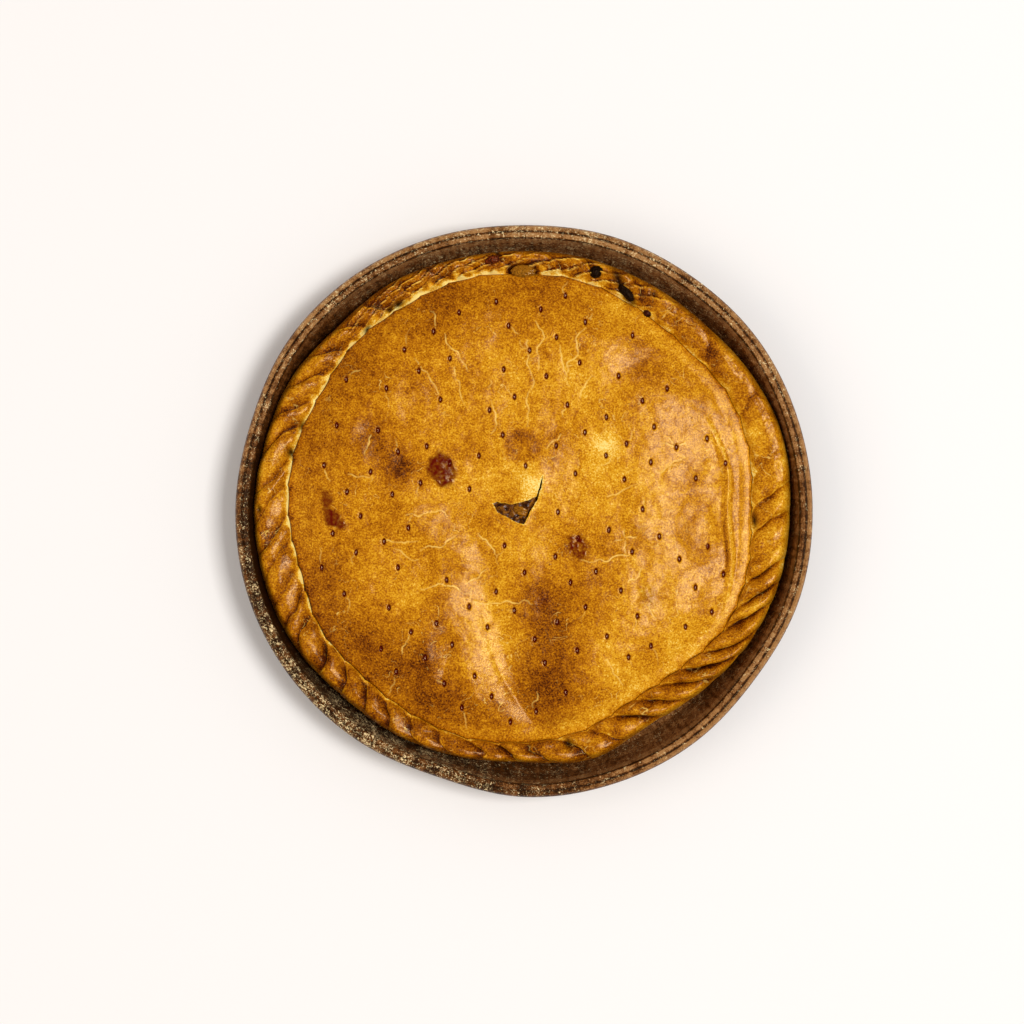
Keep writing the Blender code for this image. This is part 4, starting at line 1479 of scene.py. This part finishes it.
    # Browning, from -1 for pale to 1 for dark: toasted places and egg pools, with painted shade in hollows,
    # on slopes facing away from the light and towards the rim, and painted light on lit tops and banks
    browning: tuple[Patch, ...] = (
        Patch(-1, 34.5, 9, 9, 0, 0.32, 9.0),       # egg pool above the vent
        Patch(0, 31.5, 7, 7, 0, -0.16, 4.0),
        Patch(9, -48, 9, 10, 0, 0.24),
        Patch(-50, -103, 12, 10, 0, 0.16),
        Patch(113, 4, 5, 32, 0, 0.13),             # flat band on the right
        Patch(17, -76, 14, 24, -30, 0.25),         # dark bank right of the folded valley, painted shade on the slope facing away from the light
        Patch(12, -100, 14, 10, 0, 0.12),
        Patch(-53, -78, 4, 9, 0, 0.26),
        Patch(-67, 23.5, 5, 4.5, 0, 0.22),
        Patch(66, -78, 9, 10, 0, 0.10),
        Patch(66, 78, 12, 6, -20, 0.10),
        Patch(-40, -76, 6, 16, 10, 0.16),
        Patch(-67, 24, 8, 7, 0, 0.22),
        Patch(-83, 46, 8, 10, 0, 0.18),
        Patch(-9, 4, 12, 9, 0, 0.12),
        Patch(26, -20, 7, 6, 0, 0.25),
        Patch(50, 60, 20, 8, 20, 0.06),
        Patch(-60, 100, 40, 12, 25, 0.07),
        Patch(-24, -26, 11, 9, 0, 0.09),
        Patch(10, 118, 60, 8, 0, 0.10),
        Patch(94, -10, 16, 5, 80, 0.12),
        Patch(-50, -100, 40, 12, -38, 0.14),
        Patch(-100, -50, 30, 14, -60, 0.08),
        Patch(-106, 30, 34, 12, 80, 0.07),
        Patch(44, 36, 5, 5, 0, -0.28),
        Patch(3, 14, 5, 8, 10, -0.35),             # pale lifted flap
        # painted light on the lit bank of the folded valley
        Patch(-22, -62, 9, 30, 12, -0.10),
        Patch(22, 60, 20, 14, 0, -0.06),
        # painted light on the lit top of the bulge at the front
        Patch(53, -76, 14, 18, 20, -0.08),
    )
    # Along the fold on the right: paler on its crest, a painted highlight, and darker in the slot beside it,
    # painted shade
    lines: tuple[Fold, ...] = (
        Fold(((98, 50, 0.05), (101, 46.4, 0.2), (107.5, 32.9, 0.3), (111.3, 19.4, 0.3), (111, 3.2, 0.3),
              (111.5, -10.3, 0.34), (113, -23.8, 0.34), (112.5, -34.6, 0.3), (109, -54.5, 0.05)), 1.9, 1.5),
        Fold(((108.4, -3, -0.05), (108.6, -10, -0.4), (110, -24, -0.4), (109.6, -33, -0.05)), 1.2, 1.2),
    )
    # Painted shadow of the rope: how dark the lid is right beside it, every 30 degrees from +X
    joint_shade: Ring = Ring((0.2, 0.45, 0.5, 0.15, 0.15, 0.25, 0.4, 0.35, 0.2, 0.3, 0.45, 0.45))
    # How much yellower the band beside the rope is, at the same angles
    edge_gold: Ring = Ring((0.12, 0.16, 0.24, 0.05, 0.0, 0.05, 0.1, 0.0, 0.1, 0.2, 0.32, 0.28))
    blisters: tuple[Patch, ...] = (
        Patch(-44.5, 22.6, 9.0, 6.6, 112, 1.3, 9.0),
        Patch(-107.5, 5.9, 3.0, 5.4, 10, 0.9, 5.0), Patch(-104.2, -3.6, 4.2, 4.2, 0, 1.3, 6.0),
        Patch(-99.4, -7.0, 2.4, 2.2, 0, 1.0, 4.0),
    )
    bubbles: tuple[Patch, ...] = (
        Patch(28.8, -18.8, 4.8, 6.2, 20, 1.2, 4.0), Patch(67.0, -46.4, 4.0, 5.4, 10, 0.45, 3.0),
        Patch(9.2, -48.0, 4.0, 3.4, 0, 0.3, 3.0), Patch(17.0, -113.0, 9.0, 3.4, 10, 0.35, 3.0),
        Patch(-8.6, 3.2, 5.0, 2.0, -10, 0.4, 3.0), Patch(62.0, -9.0, 3.0, 2.0, 0, 0.3, 2.0),
    )

    def vent_outline(self) -> np.ndarray:
        """Gives the torn vent a fine ragged edge.

        Returns:
            Rows of x and y.
        """
        noise = Unevenness(self.seed)
        corners = np.array(self.vent)
        rows = []
        for start, end in zip(corners, np.roll(corners, -1, axis=0)):
            count = max(2, int(np.hypot(*(end - start)) / 0.55))
            for k in range(count):
                rows.append(start + (end - start) * k / count)
        rows = np.array(rows)
        rows[:, 0] += 0.35 * noise.at(rows[:, 0], rows[:, 1], 2.0)
        rows[:, 1] += 0.35 * noise.at(rows[:, 0], rows[:, 1], 2.3, 5.0)
        return rows

    def split_paths(self, pricks: Sequence[tuple[float, float]]) -> np.ndarray:
        """Walks all the splits: the ones that show most, and short ones that start at pricks.

        Args:
            pricks: middles of the pricks.

        Returns:
            Rows of x, y and strength.
        """
        noise = Unevenness(self.seed + 1)
        draw = random.Random(self.seed)
        rows = []
        splits = [(split, 1.0) for split in self.splits]
        for x, y in pricks:
            if draw.random() < 0.55:
                heading = 90.0 * draw.choice((-1.0, 1.0)) + draw.uniform(-35.0, 35.0)
                splits.append((Split(x, y, heading, draw.uniform(4.0, 15.0)), draw.uniform(0.3, 0.8)))
        for split, strength in splits:
            path = split.path(noise, self.split_step)
            fade = np.sin(np.pi * np.linspace(0.12, 0.95, len(path))) ** 0.5
            broken = np.clip(0.75 + 0.8 * noise.at(path[:, 0], path[:, 1], 4.0, 9.0), 0.0, 1.0)
            rows.append(np.column_stack([path, strength * fade * broken]))
        return np.concatenate(rows)

    def fine_points(self, vent: np.ndarray, pricks: list[tuple[float, float]],
                    splits: np.ndarray) -> tuple[np.ndarray, np.ndarray]:
        """Places the points of the upper side inside its border and vent.

        Args:
            vent: the vent's outline.
            pricks: middles of the pricks.
            splits: rows of x, y and strength along the splits.

        Returns:
            Rows of x and y, and the strength of a split at each.
        """
        sides = np.arange(self.prick_sides) * math.tau / self.prick_sides
        pits = []
        for x, y in pricks:
            for ring in self.prick_rings:
                turns = sides if ring else sides[:1]
                pits.append(np.column_stack([x + ring * self.prick_half[0] * np.cos(turns),
                                             y + ring * self.prick_half[1] * np.sin(turns)]))
        pits = np.concatenate(pits)
        middle = splits[:, :2]
        along = np.gradient(middle, axis=0)
        across = np.column_stack([-along[:, 1], along[:, 0]])
        across *= self.split_half_width / np.maximum(np.hypot(*across.T), 1e-6)[:, None]
        lines = np.concatenate([middle, middle + across, middle - across])
        strength = np.concatenate([splits[:, 2], np.zeros(2 * len(splits))])
        count = int(self.form.radius * 1.1 / self.grid)
        plain = lattice(self.grid, int(count * 1.16), count)
        plain += np.random.default_rng(self.seed).uniform(-0.12, 0.12, plain.shape) * self.grid
        # Each set keeps clear of the ones before it, and the splits' points also of one another
        sets = ((pits, np.zeros(len(pits)), 0.0, 0.0), (lines, strength, 0.33, 0.3),
                (plain, np.zeros(len(plain)), 0.55, 0.0))
        kept, amounts = np.empty((0, 2)), np.empty(0)
        for points, amount, clear, spacing in sets:
            x, y = points.T
            numbers = self.plan.crimp_number(np.degrees(np.arctan2(y, x)))
            good = np.hypot(x, y) < self.plan.lid_edge(numbers) - 0.8
            close = np.hypot(x, y) < self.vent_reach
            good[close] &= ~inside(vent, x[close], y[close]) & (near(vent, x[close], y[close]) > 0.3)
            points, amount = points[good], amount[good]
            if clear:
                tree = KDTree(len(kept))
                for number, (x, y) in enumerate(kept):
                    tree.insert((x, y, 0.0), number)
                tree.balance()
                far = np.array([tree.find((x, y, 0.0))[2] > clear for x, y in points], bool)
                points, amount = points[far], amount[far]
            if spacing:
                points, amount = self.thin(points, amount, spacing)
            kept = np.concatenate([kept, points])
            amounts = np.concatenate([amounts, amount])
        return kept, amounts

    @staticmethod
    def thin(points: np.ndarray, amount: np.ndarray, spacing: float) -> tuple[np.ndarray, np.ndarray]:
        """Drops points that crowd stronger ones.

        Args:
            points: rows of x and y.
            amount: the strength of each.
            spacing: side of the squares that keep one point each.

        Returns:
            The points and strengths that stay.
        """
        order = np.argsort(-amount, kind="stable")
        cells = np.floor(points[order] / spacing).astype(int)
        _, first = np.unique(cells, axis=0, return_index=True)
        chosen = order[np.sort(first)]
        return points[chosen], amount[chosen]

    def surface(self, points: np.ndarray, pricks: list[tuple[float, float]], vent: np.ndarray,
                strength: np.ndarray) -> tuple[np.ndarray, Masks]:
        """Works out the height and the masks of the upper side.

        Args:
            points: rows of x and y.
            pricks: middles of the pricks.
            vent: the vent's outline.
            strength: how strong a split is at each point.

        Returns:
            Heights, and the masks by name.
        """
        x, y = points.T
        noise = Unevenness(self.seed + 2)
        inset = self.plan.inset(x, y)
        calm = np.clip(inset / 8.0, 0.0, 1.0)
        height = self.form.height(x, y) - self.settle * calm
        height = height + calm * (0.7 * noise.layered(x, y, 24.0, 2) + 0.22 * noise.layered(x, y, 7.0, 3))
        height = height + calm * (sum(patch.at(x, y) for patch in self.relief)
                                  - sum(fold.at(x, y) for fold in self.folds))
        over = np.clip(height - self.highest + 1.2, 0.0, None)
        height = height - over + 1.2 * np.tanh(over / 1.2)
        pit, floor = np.zeros(len(points)), height.copy()
        for px, py in pricks:
            close = np.abs(x - px) + np.abs(y - py) < 5.0
            away = np.hypot((x[close] - px) / self.prick_half[0], (y[close] - py) / self.prick_half[1])
            pit[close] = np.maximum(pit[close], np.exp(-0.5 * (away / 0.72) ** 8))
            level = height[close][away < 1.2].mean() - self.prick_depth
            floor[close] = np.where(away < 1.4, level - self.prick_tilt * (x[close] - px), floor[close])
        height = height + (floor - height) * pit - self.split_depth * strength
        height = np.maximum(height, self.form.height(x, y) - self.form.thickness - self.slack + 0.5)
        ragged_x, ragged_y = (axis + 1.5 * noise.at(x, y, 4.0, z) for axis, z in ((x, 3.0), (y, 8.0)))
        burnt = np.clip(sum(patch.at(ragged_x, ragged_y) for patch in self.blisters), 0.0, 1.0)
        reddened = np.clip(sum(patch.at(x, y) for patch in self.bubbles), 0.0, 1.0)
        rough = noise.layered(x, y, 2.2, 3)
        height = height + burnt * (0.25 + 0.32 * rough) + 0.7 * reddened * rough
        to_vent = np.full(len(points), np.inf)
        close = np.hypot(x, y) < self.vent_reach
        to_vent[close] = near(vent, x[close], y[close])
        lip = np.exp(-to_vent / 0.8)
        height = np.minimum(height + 0.35 * lip * calm, self.highest)
        angle = np.degrees(np.arctan2(y, x))
        # Painted shadow of the rope on the lid beside it, deeper in the notches between the lobes
        lobe = self.plan.lobe(self.plan.crimp_number(angle) - 0.15)
        joint = self.joint_shade.at(angle) * (1.0 - 0.55 * lobe)
        # Painted shade: darker towards the rim, where the dome turns away, and towards the left, away from
        # the light
        bake = 0.43 + 0.08 * (np.hypot(x, y) / 120.0) ** 2 - 0.05 * x / 120.0
        bake = bake + sum(patch.at(x, y) for patch in self.browning)
        bake = bake - sum(line.at(x, y) for line in self.lines)
        bake = bake + 0.10 * noise.layered(x, y, 30.0, 2)
        bake = bake - self.edge_gold.at(angle) * np.exp(-(inset / 8.0) ** 1.5)
        bake = bake + joint * np.exp(-(inset / (2.6 + 2.6 * joint)) ** 2)
        # The pricks are maroon and darker inside, with a little painted shade
        bake = bake - 0.25 * lip + 0.25 * np.clip(pit * 3.0, 0.0, 1.0)
        maroon = burnt * (0.92 + 0.3 * rough) + reddened * (0.7 + 0.9 * rough) + 1.1 * pit
        return height, {
            "bake": bake,
            "split": np.clip(1.1 * strength, 0.0, 1.0),
            "crackle": np.clip(noise.at(x, y, 22.0, 40.0) * 2.2 - 0.05, 0.0, 0.9) * calm,
            "burnt": np.clip(maroon, 0.0, 1.0),
            "soot": 0.15 * pit,
        }

    def make(self) -> bpy.types.Object:
        """Makes the lid.

        Returns:
            The piece.
        """
        plan = self.plan
        vent = self.vent_outline()
        pricks = PrickRoller(plan, np.array(self.vent)).places()
        numbers = np.arange(plan.crimps * self.border_steps) / self.border_steps
        border = polar(plan.lid_edge(numbers) - GAP, plan.crimp_angle(numbers), 0.0)[:, :2]
        rim = len(border) + len(vent)
        fine, strength = self.fine_points(vent, pricks, self.split_paths(pricks))
        top = np.concatenate([border, vent, fine])
        loops = (range(len(border)), range(len(border), rim))
        height, masks = self.surface(top, pricks, vent, np.concatenate([np.zeros(rim), strength]))
        height[:len(border)] = self.form.edge_top
        shell = Shell()
        shell.add_points(np.column_stack([top, height]), **masks)
        shell.faces.append(self.triangles(top, loops, border, vent))
        under, low = self.underside(border, vent)
        below = shell.add_points(np.column_stack([under, low]), bake=0.1)
        shell.faces.append(below + self.triangles(under, loops, border, vent))
        for loop, bake in zip(loops, (0.15, 0.05)):
            chosen = np.array(loop)
            upper = np.column_stack([top[chosen], height[chosen]])
            lower = np.column_stack([under[chosen], low[chosen]])
            rows = [chosen]
            for share in (0.3, 0.65):
                first = shell.add_points(upper + (lower - upper) * share, bake=bake)
                rows.append(first + np.arange(len(chosen)))
            rows.append(below + chosen)
            for a, b in zip(rows, rows[1:]):
                shell.faces.append(np.stack([a, np.roll(a, -1), np.roll(b, -1), b], -1))
        piece = shell.make("domed_lid", BakedDough("baked_dough_lid").make(), plan.middle())
        stand_for(piece, "lid")
        return piece

    def underside(self, border: np.ndarray, vent: np.ndarray) -> tuple[np.ndarray, np.ndarray]:
        """Places the points of the underside, which rests on the crust's ledge.

        Args:
            border: the lid's outline.
            vent: the vent's outline.

        Returns:
            Rows of x and y, starting with the two outlines, and their heights.
        """
        angles = self.plan.crimp_angle(np.arange(96) / 2.0)
        ledge = polar(self.plan.rope_inner.at(angles) - self.ledge_width - 0.4, angles, 0.0)[:, :2]
        coarse = lattice(self.under_grid, 12, 12)
        clear = self.plan.inset(*coarse.T) > self.ledge_width + 6.0
        clear &= ~inside(vent, *coarse.T) & (near(vent, *coarse.T) > 4.0)
        under = np.concatenate([border, vent, ledge, coarse[clear]])
        low = self.form.height(*under.T) - self.form.thickness
        low = low - self.slack * (np.hypot(*under.T) > self.slack_start)
        rim = len(border) + len(vent)
        low[:len(border)] = self.ledge_top + GAP
        low[rim:rim + len(ledge)] = self.ledge_top + GAP
        return under, low

    @staticmethod
    def triangles(points: np.ndarray, loops: Sequence[range], border: np.ndarray,
                  vent: np.ndarray) -> np.ndarray:
        """Joins flat points into triangles between the border and the vent.

        Args:
            points: rows of x and y.
            loops: the numbers of the border's points and of the vent's.
            border: the outer outline.
            vent: the inner outline.

        Returns:
            Rows of three point numbers.
        """
        edges = [(loop[k], loop[(k + 1) % len(loop)]) for loop in loops for k in range(len(loop))]
        flat = [Vector(row) for row in points.tolist()]
        found, _, faces, origins, _, _ = delaunay_2d_cdt(flat, edges, [], 0, 1e-6)
        spots = np.array([row[:] for row in found])
        faces = np.array(faces)
        middles = spots[faces].mean(axis=1)
        angles = np.degrees(np.arctan2(border[:, 1], border[:, 0])) % FULL_TURN
        order = np.argsort(angles)
        limit = np.interp(np.degrees(np.arctan2(middles[:, 1], middles[:, 0])) % FULL_TURN, angles[order],
                          np.hypot(*border[order].T), period=FULL_TURN)
        keep = np.hypot(*middles.T) < limit
        close = np.hypot(*middles.T) < Lid.vent_reach
        keep[close] &= ~inside(vent, middles[close, 0], middles[close, 1])
        index = np.array([origin[0] for origin in origins])
        return index[faces[keep]]


@dataclass
class FillingLayer:
    """The layer of salt cod, onion and raisins between the crust and the lid, which shows at the vent."""

    plan: Plan
    form: LidForm
    ledge_width: float = 7.4
    floor_inset: float = 13.5
    floor_top: float = 5.6
    ledge_top: float = 15.7
    around: int = 192
    middle: tuple[float, float] = (-3.0, 2.0)
    seed: int = 31

    def make(self) -> bpy.types.Object:
        """Makes the filling.

        Returns:
            The piece.
        """
        noise = Unevenness(self.seed)
        angles = np.arange(self.around) * FULL_TURN / self.around
        full = self.plan.rope_inner.at(angles) - self.floor_inset
        rim = polar(full, angles, 0.0)[:, :2]
        middle = np.array(self.middle)
        shares = np.concatenate([np.linspace(0.004, 0.24, 46), np.linspace(0.28, 1.0, 16)])
        rings = []
        for share in shares[::-1]:
            spot = middle + (rim - middle) * share
            level = self.form.height(*spot.T) - self.form.thickness - GAP
            bits = np.exp(-(share / 0.24) ** 4)
            level = level - 0.25 * bits - 2.5 * (1.0 - bits) + bits * 0.8 * noise.layered(*spot.T, 4.0, 3)
            rings.append(np.column_stack([spot, level]))
        outer = [polar(self.plan.rope_inner.at(angles) - self.ledge_width, angles, self.ledge_top)]
        floor = [polar(full, angles, self.floor_top)]
        shell = Shell()
        first = shell.add_rings(np.stack(floor + outer + rings))
        shell.close_with_fan(first, self.around)
        shell.close_with_fan(first + (len(rings) + 1) * self.around, self.around, self.middle)
        piece = shell.make("cod_filling", StewedFilling().make(), self.plan.middle())
        stand_for(piece, "filling")
        return piece


@dataclass
class Morsel:
    """A raisin or an onion piece that shows, with its place, half sizes and turn."""

    node: str
    x: float
    y: float
    z: float
    half: tuple[float, float, float]
    turn: float
    state: RaisinState | None = None
    seed: int = 5

    def make(self, middle: np.ndarray) -> bpy.types.Object:
        """Makes the piece as a wrinkled lump.

        Args:
            middle: what is taken away from every point, in mm.

        Returns:
            The piece.
        """
        ball = bmesh.new()
        bmesh.ops.create_icosphere(ball, subdivisions=5, radius=1.0)
        points = np.array([vertex.co[:] for vertex in ball.verts])
        faces = np.array([[vertex.index for vertex in face.verts] for face in ball.faces])
        ball.free()
        noise = Unevenness(self.seed)
        x, y, z = points.T
        if self.state is None:
            layers = 0.05 * np.sin(9.0 * y + 2.5 * noise.at(x, y, 0.9, z))
            swell = 0.92 + layers + 0.10 * noise.layered(x, y, 0.8, 2, z)
        else:
            folds = np.abs(noise.layered(x * 1.6, y, 0.45, 2, z))
            swell = 0.90 + 0.14 * noise.at(x, y, 0.9, z) + 0.16 * folds
        across, along, up = (points * np.clip(swell, 0.7, 1.04)[:, None] * self.half).T
        turn = math.radians(self.turn)
        placed = np.column_stack([self.x + across * math.cos(turn) - along * math.sin(turn),
                                  self.y + across * math.sin(turn) + along * math.cos(turn), self.z + up])
        shell = Shell()
        shell.add_points(placed)
        shell.faces.append(faces)
        finish = StewedOnion() if self.state is None else BakedRaisin(self.state)
        piece = shell.make("morsel_" + self.node, finish.make(), middle)
        stand_for(piece, self.node)
        return piece


@dataclass(frozen=True)
class Softbox:
    """A square soft light that points at the pie.

    The fields are its name, its place and side in metres, its power in watts, its sRGB colour, and whether it
    shines on what is glossy. One that doesn't only lifts the shadows.
    """

    name: str
    place: tuple[float, float, float]
    side: float
    power: float
    colour: str
    shines: bool = True

    def make(self) -> None:
        """Hangs the light."""
        data = bpy.data.lights.new(self.name, "AREA")
        data.shape = "SQUARE"
        data.size = self.side
        data.energy = self.power
        data.color = linear(self.colour)[:3]
        light = bpy.data.objects.new(self.name, data)
        light.location = self.place
        light.visible_glossy = self.shines
        aim = Vector((0.0, 0.0, 0.02)) - Vector(self.place)
        light.rotation_euler = aim.to_track_quat("-Z", "Y").to_euler()
        bpy.context.scene.collection.objects.link(light)


@dataclass
class Studio:
    """The plain pale floor, the soft light and the camera straight above, in metres."""

    floor_size: float = 6.0
    floor_colour: str = "#f2f0ee"
    camera_height: float = 1.5
    frame_width: float = 0.553
    rim_height: float = 0.030
    sensor: float = 36.0
    aim: tuple[float, float] = (-0.0065, -0.0005)
    softboxes: tuple[Softbox, ...] = (
        Softbox("key_softbox", (1.72, 0.09, 3.70), 1.30, 110.0, "#fffdfb"),
        Softbox("fill_softbox", (-1.9, -0.3, 1.9), 1.8, 17.0, "#ffead4", shines=False),
    )
    air_colour: str = "#f3f3f5"
    air_strength: float = 0.48
    mirrored_strength: float = 0.12

    def make_floor(self) -> None:
        """Makes the floor."""
        bpy.ops.mesh.primitive_plane_add(size=self.floor_size)
        floor = bpy.context.object
        floor.name = "studio_floor"
        material = bpy.data.materials.new("matt_white_card")
        material.use_nodes = True
        fill_sockets(material.node_tree, material.node_tree.nodes["Principled BSDF"], {
            "Base Color": linear(self.floor_colour), "Roughness": 0.9, "Specular IOR Level": 0.1})
        floor.data.materials.append(material)

    def make_camera(self) -> None:
        """Makes the camera that looks straight down."""
        data = bpy.data.cameras.new("camera")
        data.sensor_width = self.sensor
        data.lens = self.sensor * (self.camera_height - self.rim_height) / self.frame_width
        camera = bpy.data.objects.new("camera", data)
        camera.location = (*self.aim, self.camera_height)
        bpy.context.scene.collection.objects.link(camera)
        bpy.context.scene.camera = camera

    def make_air(self) -> None:
        """Makes the even light from all round. Glossy skins mirror little of it, as far walls are dark."""
        world = bpy.data.worlds.new("studio_air")
        world.use_nodes = True
        tree = world.node_tree
        mirrored = add_node(tree, "ShaderNodeLightPath").outputs["Is Glossy Ray"]
        strength = add_node(tree, "ShaderNodeMix", {0: mirrored, 2: self.air_strength,
                                                    3: self.mirrored_strength})
        fill_sockets(tree, tree.nodes["Background"], {"Color": linear(self.air_colour),
                                                      "Strength": strength.outputs[0]})
        bpy.context.scene.world = world

    def make(self) -> None:
        """Makes the whole studio."""
        self.make_floor()
        for softbox in self.softboxes:
            softbox.make()
        self.make_camera()
        self.make_air()
        bpy.context.scene.view_settings.view_transform = "Standard"


def main() -> None:
    """Builds and dresses the empanada, then sets up the studio."""
    logging.basicConfig(level=logging.INFO, format="%(message)s")
    plan = Plan()
    form = LidForm(plan)
    PaperMould(plan).make()
    Rope(plan).make()
    Lid(plan, form).make()
    FillingLayer(plan, form).make()
    filling = form.height(np.array([-12.6, -2.0]), np.array([2.6, 0.2])) - form.thickness - GAP
    morsels = (
        Morsel("raisin_burnt", 38.9, 130.1, 22.6, (3.8, 3.4, 2.7), 40, RaisinState.BURNT),
        Morsel("raisin_in_split", 55.2, 118.9, 21.9, (6.2, 2.5, 2.4), -50, RaisinState.BURNT),
        Morsel("raisin_at_lid", 67.0, 107.8, 20.0, (2.6, 2.5, 2.2), 10, RaisinState.STICKY),
        Morsel("raisin_in_rope", -17.3, 136.6, 22.0, (4.3, 2.7, 2.4), 10, RaisinState.GLOSSY),
        Morsel("onion_in_rope", -0.5, 130.4, 21.2, (7.4, 3.6, 1.5), 0),
        Morsel("raisin_in_vent", -12.6, 2.6, float(filling[0]) - 1.9, (3.3, 2.7, 2.1), 20,
               RaisinState.STICKY),
        Morsel("onion_in_vent", -2.0, 0.2, float(filling[1]) + 0.1, (4.6, 2.6, 1.2), -25),
    )
    for number, morsel in enumerate(morsels):
        morsel.seed += number
        morsel.make(plan.middle())
    Studio().make()


if __name__ == "__main__":
    main()
